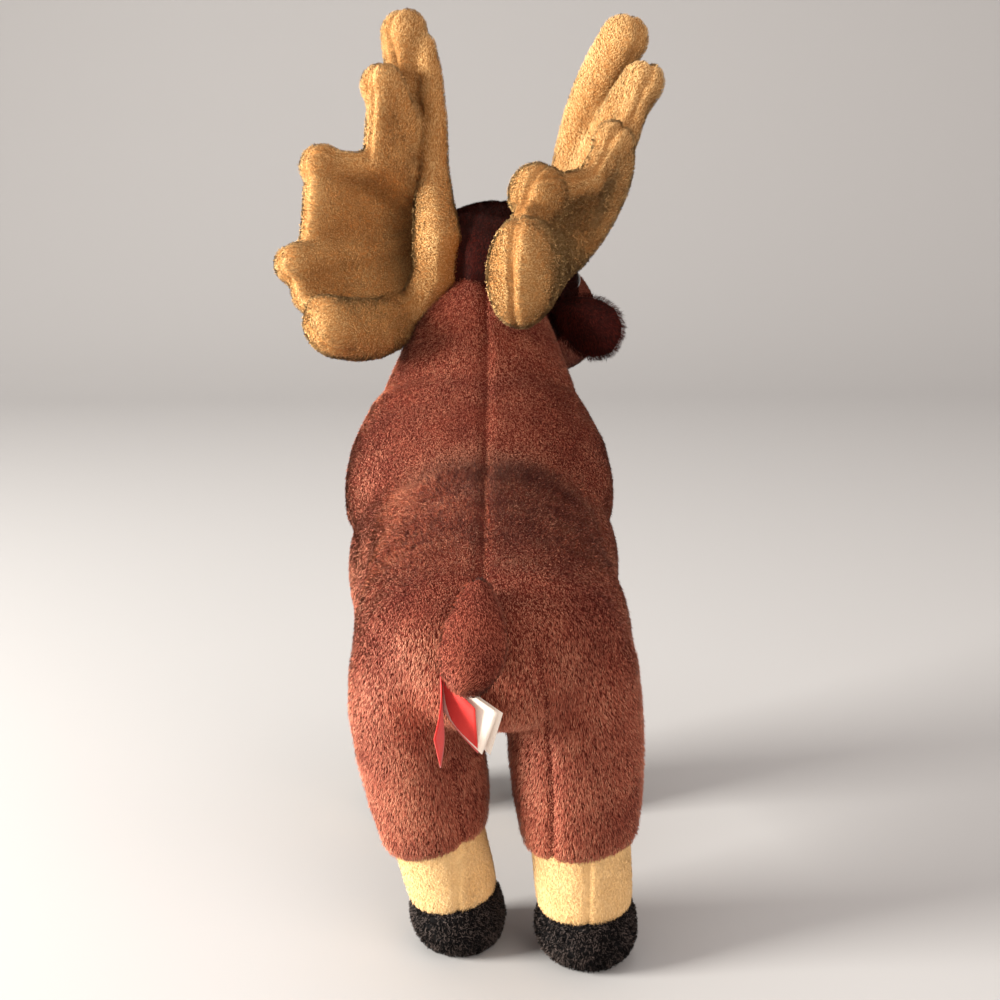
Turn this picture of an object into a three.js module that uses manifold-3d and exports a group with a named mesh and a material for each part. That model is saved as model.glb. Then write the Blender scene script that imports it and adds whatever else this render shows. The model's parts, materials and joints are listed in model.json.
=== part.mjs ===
// Standing plush moose, seen from behind in its photograph, with its head turned to its right.
// Millimetres, +Z up, nose towards -Y, +X on the toy's own left, soles on Z = 0.
import * as THREE from "three";
import { ConvexGeometry } from "three/addons/geometries/ConvexGeometry.js";
import { mergeVertices } from "three/addons/utils/BufferGeometryUtils.js";
import Module from "manifold-3d";

// Overall sizes of the stuffed body
const BODY_LENGTH = 194;
const SHOULDER_WIDTH = 109;
const WITHERS_HEIGHT = 168;
const RUMP_Y = 93;

// Cloth thickness with its pile backing, sewing clearance and running clearance at the joints
const SKIN = 3;
const SEAM_GAP = 0.3;
const JOINT_GAP = 0.5;
const OVERRUN = 4;
const MERGE_DISTANCE = 0.001;

// Neck: a leaning tube on the shoulders that ends in a ball inside the head, a little to the
// toy's right
const NECK_LENGTH = 111;
const NECK_ROOT_SHARE = 0.835;
const NECK_ROOT_Y = RUMP_Y - NECK_ROOT_SHARE * BODY_LENGTH;
const NECK_ROOT_Z = 116;
const NECK_LEAN = THREE.MathUtils.degToRad(27.7);
const NECK_BEND_SHARE = 0.6;
const NECK_SIDE = -3;
const NECK_BALL_WIDTH = 86;
const NECK_BALL_RADIUS = 33.5;
const CROWN_BALL_RADIUS = 28;

// Head and muzzle, measured from the centre of the neck's upper ball
const HEAD_TURN = THREE.MathUtils.degToRad(26);
const HEAD_LENGTH = 76;
const HEAD_WIDTH = 62;
const HEAD_BACK = 20;
const CROWN_HEIGHT = 48;
const MUZZLE_LENGTH = 50;
const MUZZLE_START = 44;
const MUZZLE_WIDTH = 54;

// Safety eyes with their shanks and lock washers, and the stitched nostrils
const EYE_RADIUS = 4.5;
const EYE_DOME = 3.2;
const EYE_FORWARD = 46;
const EYE_HEIGHT = 12;
const EYE_SIDE = 27.2;
const SHANK_RADIUS = 1.8;
const SHANK_LENGTH = 9;
const WASHER_RADIUS = 6;
const WASHER_THICKNESS = 1.5;
const WASHER_DEPTH = 4.6;
const NOSTRIL_HALF_WIDTH = 4.5;
const NOSTRIL_HALF_HEIGHT = 2.8;
const NOSTRIL_HALF_DEPTH = 2.2;

// Ears and antlers
const EAR_LENGTH = 35;
const EAR_HALF_WIDTH = 13;
const EAR_HALF_THICKNESS = 5;
const EAR_SIDE = 28;
const EAR_BACK = 2;
const EAR_HEIGHT = 3;
const EAR_DROOP = THREE.MathUtils.degToRad(26);
const ANTLER_SPAN = 104;
const ANTLER_SIDE = 33;
const ANTLER_FORWARD = 22;
const ANTLER_HEIGHT = 29;
const ANTLER_ROOT_RADIUS = 12;

// Legs, each a thigh, a short cuff and a hoof
const HIP_HEIGHT = 106;
const HIND_HIP_SIDE = 28;
const HIND_HIP_Y = 58;
const HIND_THIGH_RADIUS = 21.5;
const HIND_THIGH_DEPTH = 25;
const FRONT_HIP_SIDE = 31;
const FRONT_HIP_SHARE = 0.82;
const FRONT_HIP_Y = RUMP_Y - FRONT_HIP_SHARE * BODY_LENGTH;
const FRONT_THIGH_RADIUS = 21.5;
const FRONT_THIGH_DEPTH = 24;
const CUFF_TOP = 41;
const HOOF_TOP = 19;
// How far each leg leans outward and steps back from its hip to its sole
const HIND_LEFT_LEAN = -16.5;
const HIND_LEFT_STEP = -10;
const HIND_RIGHT_LEAN = 6;
const HIND_RIGHT_STEP = 2;
const FRONT_LEFT_LEAN = 0;
const FRONT_LEFT_STEP = -8;
const FRONT_RIGHT_LEAN = 3;
const FRONT_RIGHT_STEP = -4;

// Tail and sewn-in label
const TAIL_LENGTH = 40;
const TAIL_HALF_WIDTH = 10.5;
const TAIL_HALF_THICKNESS = 6;
const TAIL_SIDE = 4;
const TAIL_Y = 79;
const TAIL_ROOT_SHARE = 0.854;
const TAIL_HEIGHT = TAIL_ROOT_SHARE * WITHERS_HEIGHT;
const TAIL_SLOPE = THREE.MathUtils.degToRad(44);
const LABEL_LENGTH = 25;
const LABEL_WIDTH = 14;
const LABEL_THICKNESS = 0.5;
const LABEL_SIDE = 17.6;
const LABEL_Y = 91.2;
const LABEL_TOP_SHARE = 0.714;
const LABEL_HEIGHT = LABEL_TOP_SHARE * WITHERS_HEIGHT;

// How far each joint moves, which its socket leaves room for
const LEG_SWING = [-15, 0, 15];
const NECK_NOD = [-12, 0, 12];
const HEAD_YAW = [-15, 8, 30];
const ANTLER_FLEX = [-5, 0, 5];
const EAR_FOLD = [-30, 0, 10];
const TAIL_LIFT = [0, 35, 70];
// How many rings of a neck beside its ball, and how low down a thigh, a socket clears
const NECK_SOCKET_RINGS = 3;
const LEG_SOCKET_SHARE = 0.55;

// Facets round each form
const TORSO_SIDES = 18;
const NECK_SIDES = 16;
const HEAD_SIDES = 16;
const LEG_SIDES = 14;
const SMALL_SIDES = 10;
const TINE_SIDES = 9;
const INNER_SIDES = 12;
const DOME_STEPS = 3;
const FULLNESS = 2.25;
// Where a round end's first ring lies, as a share of its first step
const DOME_START_SHARE = 0.4;
// A coarser ring round a finer one has to stand this much wider to clear its corners
const CLEAR_SHARE = 1 / Math.cos(Math.PI / INNER_SIDES);

// Colours of the cloths
const brownPlush = material(0x8f4c3a, 0.95);
const maroonPlush = material(0x4a1a15, 0.95);
const tanVelour = material(0xc08a4c, 0.9);
const creamVelour = material(0xedc98a, 0.9);
const blackFleece = material(0x1c1a1a, 0.95);
const whiteFibre = material(0xf0eee8, 1);
const redSatin = material(0xc8281e, 0.45);
const blackPlastic = material(0x0c0a0a, 0.12);
const clearPlastic = material(0xd8dade, 0.4);
const blackThread = material(0x141212, 0.7);

function material(color, roughness) {
  return new THREE.MeshStandardMaterial({ color, roughness, metalness: 0 });
}

const wasm = await Module();
wasm.setup();

// A closed geometry as a solid that can be joined and cut.
function solidOf(geometry) {
  const bare = geometry.index ? geometry.toNonIndexed() : geometry.clone();
  bare.deleteAttribute("normal");
  bare.deleteAttribute("uv");
  const merged = mergeVertices(bare, MERGE_DISTANCE);
  return new wasm.Manifold(
    new wasm.Mesh({
      numProp: 3,
      vertProperties: merged.attributes.position.array,
      triVerts: new Uint32Array(merged.index.array),
    }),
  );
}

// A cut solid back as a named mesh.
function meshOf(name, solid, cloth) {
  const cut = solid.getMesh();
  const geometry = new THREE.BufferGeometry();
  geometry.setAttribute("position", new THREE.BufferAttribute(cut.vertProperties, cut.numProp));
  geometry.setIndex(new THREE.BufferAttribute(cut.triVerts, 1));
  geometry.computeVertexNormals();
  const mesh = new THREE.Mesh(geometry, cloth);
  mesh.name = name;
  return mesh;
}

// One ring of a form: a slightly squared ellipse round a centre, in the plane of two directions.
function ringAt(centre, across, along, halfAcross, halfAlong, sides, fullness = 2) {
  const ring = [];
  for (let i = 0; i < sides; i++) {
    const angle = (i / sides) * 2 * Math.PI;
    const c = Math.sign(Math.cos(angle)) * Math.abs(Math.cos(angle)) ** (2 / fullness);
    const s = Math.sign(Math.sin(angle)) * Math.abs(Math.sin(angle)) ** (2 / fullness);
    ring.push(
      centre
        .clone()
        .addScaledVector(across, c * halfAcross)
        .addScaledVector(along, s * halfAlong),
    );
  }
  return ring;
}

// Joins rings into one closed skin, each end drawn to the middle of its last ring.
function loft(rings) {
  const sides = rings[0].length;
  const middle = (ring) =>
    ring.reduce((sum, p) => sum.add(p), new THREE.Vector3()).divideScalar(sides);
  const points = [...rings.flat(), middle(rings[0]), middle(rings[rings.length - 1])];
  const faces = [];
  const first = points.length - 2;
  const last = points.length - 1;
  for (let i = 0; i < sides; i++) {
    const j = (i + 1) % sides;
    faces.push([first, j, i]);
    for (let r = 0; r + 1 < rings.length; r++) {
      const a = r * sides;
      const b = a + sides;
      faces.push([a + i, a + j, b + j], [a + i, b + j, b + i]);
    }
    faces.push([last, (rings.length - 1) * sides + i, (rings.length - 1) * sides + j]);
  }
  return closedSkin(points, faces);
}

// A geometry from points and faces, turned so that its faces point out.
function closedSkin(points, faces) {
  const volume = faces.reduce(
    (sum, [a, b, c]) => sum + points[a].dot(points[b].clone().cross(points[c])),
    0,
  );
  const outward = volume < 0 ? faces.map(([a, b, c]) => [a, c, b]) : faces;
  const geometry = new THREE.BufferGeometry().setFromPoints(points);
  geometry.setIndex(outward.flat());
  return geometry;
}

// Reads a table of rows [share, value, value ...] at a share, straight between its rows.
function readTable(rows, share) {
  const next = rows.findIndex((row) => row[0] >= share);
  if (next <= 0) return rows[next < 0 ? rows.length - 1 : 0].slice(1);
  const [low, high] = [rows[next - 1], rows[next]];
  const part = (share - low[0]) / (high[0] - low[0]);
  return low.slice(1).map((value, i) => value + part * (high[i + 1] - value));
}

// Where a point of one frame lies in another.
function between(fromFrame, toFrame) {
  return toFrame.matrixWorld.clone().invert().multiply(fromFrame.matrixWorld);
}

// Takes a fixed piece's own form from the solid that it sits in.
function cutSeat(solid, frame, form, formFrame) {
  return solid.subtract(solidOf(form.clone().applyMatrix4(between(formFrame, frame))));
}

// Takes from a solid the room that a moving piece sweeps: the hull of its points at each angle.
function cutSocket(solid, frame, points, formFrame, axis, angles) {
  const toSolid = between(formFrame, frame);
  const swept = angles.flatMap((angle) => {
    const turn = new THREE.Matrix4().makeRotationAxis(axis, THREE.MathUtils.degToRad(angle));
    return points.map((p) => p.clone().applyMatrix4(turn).applyMatrix4(toSolid));
  });
  return solid.subtract(solidOf(new ConvexGeometry(swept)));
}

// A frame that a body turns about, placed in its parent's frame.
function frameIn(parent, x, y, z, turn = 0) {
  const frame = new THREE.Group();
  frame.position.set(x, y, z);
  frame.rotation.z = turn;
  parent.add(frame);
  frame.updateWorldMatrix(true, false);
  return frame;
}

const X = new THREE.Vector3(1, 0, 0);
const Y = new THREE.Vector3(0, 1, 0);
const Z = new THREE.Vector3(0, 0, 1);
const toy = new THREE.Group();

// Barrel of the body from rump to chest: [share of length, top and bottom as shares of the
// withers' height, half width as a share of half the shoulder width]
const barrelShares = [
  [0, 0.7, 0.62, 0.2],
  [0.02, 0.762, 0.585, 0.367],
  [0.057, 0.821, 0.565, 0.6],
  [0.119, 0.869, 0.545, 0.79],
  [0.211, 0.899, 0.503, 0.885],
  [0.335, 0.923, 0.455, 0.87],
  [0.479, 0.952, 0.415, 0.862],
  [0.624, 0.97, 0.393, 0.936],
  [0.747, 0.97, 0.387, 1],
  [0.861, 0.94, 0.417, 0.954],
  [0.943, 0.88, 0.488, 0.752],
  [0.985, 0.81, 0.571, 0.44],
  [1, 0.73, 0.65, 0.2],
];

// Withers that carry the neck: [share of neck length, half width, back and front as shares of
// half the shoulder width]
const withersShares = [
  [0, 0.86, 0.55, 0.44],
  [0.13, 1.02, 0.78, 0.47],
  [0.25, 1.035, 0.9, 0.48],
  [0.4, 0.985, 0.8, 0.53],
  [0.51, 0.9, 0.69, 0.57],
  [0.6, 0.81, 0.63, 0.56],
  [0.64, 0.68, 0.5, 0.45],
];

function barrel(inset, sides) {
  const length = BODY_LENGTH - 2 * inset;
  return loft(
    barrelShares.map(([share, top, bottom, half]) => {
      const high = top * WITHERS_HEIGHT - inset;
      const low = bottom * WITHERS_HEIGHT + inset;
      const centre = new THREE.Vector3(0, RUMP_Y - inset - share * length, (high + low) / 2);
      const halfWidth = Math.max((half * SHOULDER_WIDTH) / 2 - inset, SKIN);
      const halfHeight = Math.max((high - low) / 2, SKIN);
      return ringAt(centre, X, Z, halfWidth, halfHeight, sides, FULLNESS);
    }),
  );
}

// The neck leans forward: a point at a share of its length, and its two cross directions.
const neckRise = new THREE.Vector3(0, -Math.sin(NECK_LEAN), Math.cos(NECK_LEAN));
const neckBack = new THREE.Vector3(0, Math.cos(NECK_LEAN), Math.sin(NECK_LEAN));
function neckPoint(share) {
  return new THREE.Vector3(0, NECK_ROOT_Y, NECK_ROOT_Z).addScaledVector(
    neckRise,
    share * NECK_LENGTH,
  );
}

function withers(inset, sides) {
  return loft(
    withersShares.map(([share, half, back, front]) => {
      const unit = SHOULDER_WIDTH / 2;
      const centre = neckPoint(share).addScaledVector(neckBack, ((back - front) * unit) / 2);
      const halfDepth = ((back + front) * unit) / 2 - inset;
      const drawnIn = share === withersShares.at(-1)[0] ? inset : 0;
      centre.addScaledVector(neckRise, -drawnIn);
      return ringAt(centre, X, neckBack, half * unit - inset, halfDepth, sides, FULLNESS);
    }),
  );
}

function torsoForm(inset, sides) {
  return solidOf(barrel(inset, sides)).add(solidOf(withers(inset, sides)));
}

// Neck frame: at the centre of its lower ball, which nods about X
const bend = neckPoint(NECK_BEND_SHARE);
const neckFrame = frameIn(toy, 0, bend.y, bend.z);

// Neck tube over the lower ball: [share of the length above the ball, half width and half depth
// as shares of the lower ball's half width and radius]
const neckShares = [
  [0, 1, 1],
  [0.25, 0.92, 0.95],
  [0.6, 0.78, 0.86],
  [0.85, 0.68, 0.82],
];

function neckRings(grow, sides = NECK_SIDES, clear = 1) {
  const rings = [];
  const rise = (1 - NECK_BEND_SHARE) * NECK_LENGTH;
  const addRing = (height, halfWidth, halfDepth) => {
    const centre = new THREE.Vector3().addScaledVector(neckRise, height);
    centre.x = NECK_SIDE * THREE.MathUtils.clamp(height / rise, 0, 1);
    rings.push(ringAt(centre, X, neckBack, clear * halfWidth, clear * halfDepth, sides));
  };
  const lowWidth = NECK_BALL_WIDTH / 2 + grow;
  const lowRadius = NECK_BALL_RADIUS + grow;
  const topRadius = CROWN_BALL_RADIUS + grow;
  for (let i = 0; i < DOME_STEPS; i++) {
    const angle = ((i + DOME_START_SHARE) / DOME_STEPS - 1) * (Math.PI / 2);
    addRing(lowRadius * Math.sin(angle), lowWidth * Math.cos(angle), lowRadius * Math.cos(angle));
  }
  for (const [share, half, depth] of neckShares) {
    const halfWidth = (half * NECK_BALL_WIDTH) / 2 + grow;
    addRing(share * rise, halfWidth, depth * NECK_BALL_RADIUS + grow);
  }
  for (let i = 0; i < DOME_STEPS; i++) {
    const angle = ((i + 1 - DOME_START_SHARE) / DOME_STEPS) * (Math.PI / 2);
    const reach = topRadius * Math.cos(angle);
    addRing(rise + topRadius * Math.sin(angle), reach, reach);
  }
  return rings;
}

// Head frame: at the centre of the neck's upper ball, turned to the toy's right
const crown = neckPoint(1).sub(bend);
const headFrame = frameIn(neckFrame, NECK_SIDE, crown.y, crown.z, -HEAD_TURN);

// Skull and muzzle from back to front: [share of length, top and bottom as shares of the crown's
// height over the ball, half width as a share of half the piece's width]
const skullShares = [
  [0, 0.58, 0.36, 0.25],
  [0.05, 0.76, 0.12, 0.56],
  [0.16, 0.91, -0.12, 0.83],
  [0.34, 0.98, -0.31, 0.98],
  [0.55, 1, -0.42, 1],
  [0.79, 0.9, -0.46, 0.95],
  [0.93, 0.76, -0.45, 0.83],
  [1, 0.6, -0.36, 0.6],
];
const muzzleShares = [
  [0, 0.54, -0.5, 0.88],
  [0.25, 0.5, -0.64, 0.96],
  [0.55, 0.38, -0.75, 1],
  [0.8, 0.2, -0.73, 0.9],
  [0.94, 0.02, -0.6, 0.64],
  [1, -0.14, -0.44, 0.3],
];

function faceLoft(shares, start, length, width, inset, sides) {
  return loft(
    shares.map(([share, top, bottom, half]) => {
      const high = top * CROWN_HEIGHT - inset;
      const low = bottom * CROWN_HEIGHT + inset;
      const y = start - inset - share * (length - 2 * inset);
      const halfWidth = Math.max((half * width) / 2 - inset, SKIN);
      const halfHeight = Math.max((high - low) / 2, SKIN);
      const centre = new THREE.Vector3(0, y, (high + low) / 2);
      const clear = inset < 0 ? CLEAR_SHARE : 1;
      return ringAt(centre, X, Z, clear * halfWidth, clear * halfHeight, sides, FULLNESS);
    }),
  );
}
const skull = (inset, sides) =>
  faceLoft(skullShares, HEAD_BACK, HEAD_LENGTH, HEAD_WIDTH, inset, sides);
const muzzleForm = () =>
  faceLoft(muzzleShares, -MUZZLE_START, MUZZLE_LENGTH, MUZZLE_WIDTH, 0, HEAD_SIDES);

// Eye: a dome on a shank that runs in along the head's normal, in a frame whose Y points out
function eyeForm(grow) {
  const profile = [new THREE.Vector2(0, -SHANK_LENGTH - grow)];
  profile.push(new THREE.Vector2(SHANK_RADIUS + grow, -SHANK_LENGTH - grow));
  profile.push(new THREE.Vector2(SHANK_RADIUS + grow, -grow));
  for (let i = 0; i < DOME_STEPS; i++) {
    const angle = (i / DOME_STEPS) * (Math.PI / 2);
    const reach = (EYE_RADIUS + grow) * Math.cos(angle);
    profile.push(new THREE.Vector2(reach, (EYE_DOME + grow) * Math.sin(angle) - (i ? 0 : grow)));
  }
  profile.push(new THREE.Vector2(0, EYE_DOME + grow));
  return new THREE.LatheGeometry(profile, SMALL_SIDES);
}

function washerForm(grow) {
  const inner = SHANK_RADIUS + (grow ? 0 : SEAM_GAP);
  const outer = WASHER_RADIUS + grow;
  const top = -WASHER_DEPTH + grow;
  const bottom = -WASHER_DEPTH - WASHER_THICKNESS - grow;
  const corners = [
    [inner, bottom],
    [outer, bottom],
    [outer, top],
    [inner, top],
    [inner, bottom],
  ];
  return new THREE.LatheGeometry(
    corners.map(([r, y]) => new THREE.Vector2(r, y)),
    SMALL_SIDES,
  );
}

function eyeFrame(side) {
  const frame = frameIn(headFrame, side * EYE_SIDE, -EYE_FORWARD, EYE_HEIGHT);
  const outward = new THREE.Vector3(side, -0.38, 0.06).normalize();
  frame.quaternion.setFromUnitVectors(Y, outward);
  frame.updateWorldMatrix(true, false);
  return frame;
}

function nostrilFrame(side) {
  const forward = MUZZLE_START + 0.93 * MUZZLE_LENGTH;
  const frame = frameIn(headFrame, (side * MUZZLE_WIDTH) / 5, -forward, -CROWN_HEIGHT / 12);
  frame.rotation.z = side * THREE.MathUtils.degToRad(28);
  frame.updateWorldMatrix(true, false);
  return frame;
}

function nostrilForm(grow) {
  return new THREE.SphereGeometry(1, TINE_SIDES, DOME_STEPS * 2).scale(
    NOSTRIL_HALF_WIDTH + grow,
    NOSTRIL_HALF_DEPTH + grow,
    NOSTRIL_HALF_HEIGHT + grow,
  );
}

// Ear: a thin drop that hangs out from a small root ball
const earShares = [
  [0, 0.26, 0.55],
  [0.12, 0.42, 0.8],
  [0.3, 0.78, 1],
  [0.55, 1, 1],
  [0.78, 0.94, 0.9],
  [0.93, 0.62, 0.6],
  [1, 0.3, 0.3],
];

function earRings(side, grow) {
  const out = new THREE.Vector3(side * Math.cos(EAR_DROOP), 0, -Math.sin(EAR_DROOP));
  const wide = new THREE.Vector3(side * Math.sin(EAR_DROOP), 0, Math.cos(EAR_DROOP));
  return earShares.map(([share, half, thick]) => {
    const reach = share * (EAR_LENGTH + 2 * grow) - grow;
    const centre = new THREE.Vector3().addScaledVector(out, reach);
    const halfWidth = half * EAR_HALF_WIDTH + grow;
    return ringAt(centre, wide, Y, halfWidth, thick * EAR_HALF_THICKNESS + grow, SMALL_SIDES);
  });
}

// Antlers: where each tine ends, as shares of the span, outward, back and up from the root, then
// its half height across the palm and its half thickness as shares of the root's radius, how far
// it bows towards the other antler, and how far along it the palm goes to the next tine. The two
// antlers flop differently, so each has its table.
const antlerTineShares = {
  left: [
    [0.035, 0.2, 0.887, 0.92, 0.92, 0, 0.62],
    [0.085, 0.34, 0.669, 0.82, 0.78, 0, 0.82],
    [0.243, 0.6, 0.337, 0.85, 0.78, 0, 0.94],
    [0.251, 0.8, -0.053, 0.85, 0.8, 0, 0.94],
    [0.049, 0.88, -0.277, 1.15, 0.92, -0.06, 0],
  ],
  right: [
    [0.204, -0.08, 0.855, 0.9, 0.85, 0.1, 0.62],
    [0.33, 0.05, 0.669, 0.8, 0.78, 0.06, 0.82],
    [0.286, 0.27, 0.427, 0.8, 0.75, -0.05, 0.94],
    [0.1, 0.58, 0.246, 0.9, 0.92, 0.02, 0.94],
    [0.1, 0.8, -0.05, 1.7, 1.1, -0.06, 0],
  ],
};
// Swelling of a tine from the root to its blunt end
const tineShares = [
  [0, 0.8],
  [0.2, 0.9],
  [0.4, 1],
  [0.62, 1.04],
  [0.82, 1.02],
  [0.94, 0.86],
  [1, 0.45],
];
const PALM_THICKNESS_SHARE = 0.82;
const TINE_BOW_SHARE = 0.06;
const ROOT_RINGS = 2;
const ANTLER_ROOT_RINGS = 3;

// The rings of one tine, bowed forward between the root and its end, so that the palm is hollow
function tineRings(tines, index, side, grow) {
  const end = (i) => {
    const [out, back, up] = tines[Math.min(Math.max(i, 0), tines.length - 1)];
    return new THREE.Vector3(side * out, back, up).multiplyScalar(ANTLER_SPAN);
  };
  const tip = end(index);
  const along = tip.clone().normalize();
  const fan = end(index - 1).sub(end(index + 1));
  fan.addScaledVector(along, -fan.dot(along)).normalize();
  const thick = new THREE.Vector3().crossVectors(along, fan);
  const [height, thickness, inward] = tines[index].slice(3);
  const bow = new THREE.Vector3(-side * inward, -TINE_BOW_SHARE, 0).multiplyScalar(ANTLER_SPAN);
  return tineShares.map(([share, swell]) => {
    const centre = tip.clone().multiplyScalar(share).addScaledVector(bow, 4 * share * (1 - share));
    const rootShare = Math.max(1 - 2.5 * share, 0);
    const high = THREE.MathUtils.lerp(height, 1, rootShare);
    const deep = THREE.MathUtils.lerp(thickness, 1, rootShare);
    return ringAt(
      centre,
      fan,
      thick,
      high * swell * ANTLER_ROOT_RADIUS + grow,
      deep * swell * ANTLER_ROOT_RADIUS + grow,
      TINE_SIDES,
    );
  });
}

function antlerForm(side) {
  const tines = side > 0 ? antlerTineShares.left : antlerTineShares.right;
  let antler = solidOf(
    new THREE.SphereGeometry(ANTLER_ROOT_RADIUS, SMALL_SIDES, DOME_STEPS * 2),
  );
  const rings = tines.map((_, i) => tineRings(tines, i, side, 0));
  rings.forEach((tine) => (antler = antler.add(solidOf(loft(tine)))));
  for (let i = 0; i + 1 < tines.length; i++) {
    for (let r = 0; tineShares[r + 1][0] <= tines[i].at(-1); r++) {
      const corners = [rings[i][r], rings[i][r + 1], rings[i + 1][r], rings[i + 1][r + 1]];
      const web = corners.flatMap((ring) => {
        const centre = ring.reduce((sum, p) => sum.add(p), new THREE.Vector3());
        centre.divideScalar(ring.length);
        return ring.map((p) => p.clone().lerp(centre, 1 - PALM_THICKNESS_SHARE));
      });
      antler = antler.add(solidOf(new ConvexGeometry(web)));
    }
  }
  return antler;
}

// The points of the root alone, which turns inside the head's socket.
function antlerRootPoints(side, grow) {
  const tines = side > 0 ? antlerTineShares.left : antlerTineShares.right;
  const radius = (ANTLER_ROOT_RADIUS + grow) * CLEAR_SHARE;
  const corners = new THREE.SphereGeometry(radius, SMALL_SIDES, DOME_STEPS * 2).toNonIndexed();
  const ball = corners.attributes.position;
  return [
    ...Array.from({ length: ball.count }, (_, i) => new THREE.Vector3().fromBufferAttribute(ball, i)),
    ...tines.flatMap((_, i) => tineRings(tines, i, side, grow).slice(0, ANTLER_ROOT_RINGS).flat()),
  ];
}

// The points of the palm's low edge, which presses a hollow into the head's side.
const LOW_TINES_FROM = 3;
const LOW_RINGS = 5;
function lowPalmPoints(side, grow) {
  const tines = side > 0 ? antlerTineShares.left : antlerTineShares.right;
  return tines
    .map((_, i) => tineRings(tines, i, side, grow).slice(0, LOW_RINGS).flat())
    .slice(LOW_TINES_FROM)
    .flat();
}

// Legs from hip to sole: [share of hip height, side radius and depth radius as shares of the
// thigh's, how much of the leg's lean has been taken up]
const legShares = [
  [-0.005, 0.5, 0.5, 1],
  [0.012, 0.64, 0.63, 1],
  [0.04, 0.75, 0.74, 1],
  [0.09, 0.81, 0.78, 0.99],
  [0.18, 0.79, 0.7, 0.93],
  [0.385, 0.82, 0.7, 0.6],
  [0.45, 0.9, 0.76, 0.48],
  [0.575, 0.99, 0.86, 0.36],
  [0.75, 1.04, 0.95, 0.18],
  [0.91, 1.03, 1, 0.03],
  [1, 0.98, 1, 0],
];

const legs = [
  { name: "hind_left", side: 1, lean: HIND_LEFT_LEAN, step: HIND_LEFT_STEP },
  { name: "hind_right", side: -1, lean: HIND_RIGHT_LEAN, step: HIND_RIGHT_STEP },
  { name: "front_left", side: 1, lean: FRONT_LEFT_LEAN, step: FRONT_LEFT_STEP },
  { name: "front_right", side: -1, lean: FRONT_RIGHT_LEAN, step: FRONT_RIGHT_STEP },
].map((leg) => {
  const hind = leg.name.startsWith("hind");
  return {
    ...leg,
    radius: hind ? HIND_THIGH_RADIUS : FRONT_THIGH_RADIUS,
    depth: hind ? HIND_THIGH_DEPTH : FRONT_THIGH_DEPTH,
    frame: frameIn(
      toy,
      leg.side * (hind ? HIND_HIP_SIDE : FRONT_HIP_SIDE),
      hind ? HIND_HIP_Y : FRONT_HIP_Y,
      HIP_HEIGHT,
    ),
  };
});

// One ring of a leg at a height over the floor, square to the leg's own slant there.
function legRing(leg, height, grow, sides, clear) {
  const [side, depth, lean] = readTable(legShares, height / HIP_HEIGHT);
  const [, , below] = readTable(legShares, (height - SKIN) / HIP_HEIGHT);
  const slant = ((lean - below) * leg.lean * leg.side) / SKIN;
  const across = new THREE.Vector3(1, 0, -slant).normalize();
  const centre = new THREE.Vector3(
    lean * leg.lean * leg.side,
    lean * leg.step,
    height - HIP_HEIGHT,
  );
  const halfSide = clear * (side * leg.radius + grow);
  return ringAt(centre, across, Y, halfSide, clear * (depth * leg.depth + grow), sides);
}

// A stretch of a leg between two heights, with the round top that turns in the body if it has one.
function legRings(leg, from, to, grow, ball, sides = LEG_SIDES, clear = 1) {
  const heights = legShares.map(([share]) => share * HIP_HEIGHT);
  const inside = heights.filter((height) => height > from && height < to);
  const rings = [from, ...inside, to].map((height) => legRing(leg, height, grow, sides, clear));
  for (let i = 1; ball && i <= DOME_STEPS; i++) {
    const angle = ((i - DOME_START_SHARE) / DOME_STEPS) * (Math.PI / 2);
    const centre = new THREE.Vector3(0, 0, (leg.depth + grow) * Math.sin(angle));
    const half = clear * (legShares.at(-1)[1] * leg.radius + grow) * Math.cos(angle);
    rings.push(ringAt(centre, X, Y, half, clear * (leg.depth + grow) * Math.cos(angle), sides));
  }
  return rings;
}

// Tail: a drop that hangs from the end of the back seam
const tailShares = [
  [0, 0.35, 0.5],
  [0.14, 0.55, 0.75],
  [0.35, 0.85, 1],
  [0.6, 1, 1],
  [0.8, 0.88, 0.9],
  [0.94, 0.6, 0.65],
  [1, 0.32, 0.4],
];
const tailFrame = frameIn(toy, TAIL_SIDE, TAIL_Y, TAIL_HEIGHT);

function tailRings(grow) {
  const down = new THREE.Vector3(0, Math.sin(TAIL_SLOPE), -Math.cos(TAIL_SLOPE));
  const out = new THREE.Vector3(0, Math.cos(TAIL_SLOPE), Math.sin(TAIL_SLOPE));
  return tailShares.map(([share, half, thick]) => {
    const reach = share * (TAIL_LENGTH + 2 * grow) - grow;
    const centre = new THREE.Vector3().addScaledVector(down, reach);
    const halfWidth = half * TAIL_HALF_WIDTH + grow;
    return ringAt(centre, X, out, halfWidth, thick * TAIL_HALF_THICKNESS + grow, SMALL_SIDES);
  });
}

// Label: one ribbon, folded over where it is sewn into the seam, so that two leaves fan out and
// droop. Each leaf: [sideways, back, up] from the seam to its free end as shares of its length.
const labelLeafShares = [
  [-0.75, 0.45, -0.48],
  [0.1, 0.62, -0.78],
];
const labelFrame = frameIn(toy, LABEL_SIDE, LABEL_Y, LABEL_HEIGHT);

function labelForm() {
  const seam = new THREE.Vector3(0, 0, -LABEL_WIDTH);
  const leaves = labelLeafShares.map((shares) => {
    const reach = new THREE.Vector3(...shares).multiplyScalar(LABEL_LENGTH);
    const thick = new THREE.Vector3().crossVectors(seam, reach).setLength(LABEL_THICKNESS / 2);
    const corners = [thick, thick.clone().negate()].flatMap((side) => [
      side,
      side.clone().add(seam),
      side.clone().add(reach),
      side.clone().add(reach).add(seam),
    ]);
    return solidOf(new ConvexGeometry(corners));
  });
  return leaves[0].add(leaves[1]);
}

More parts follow.
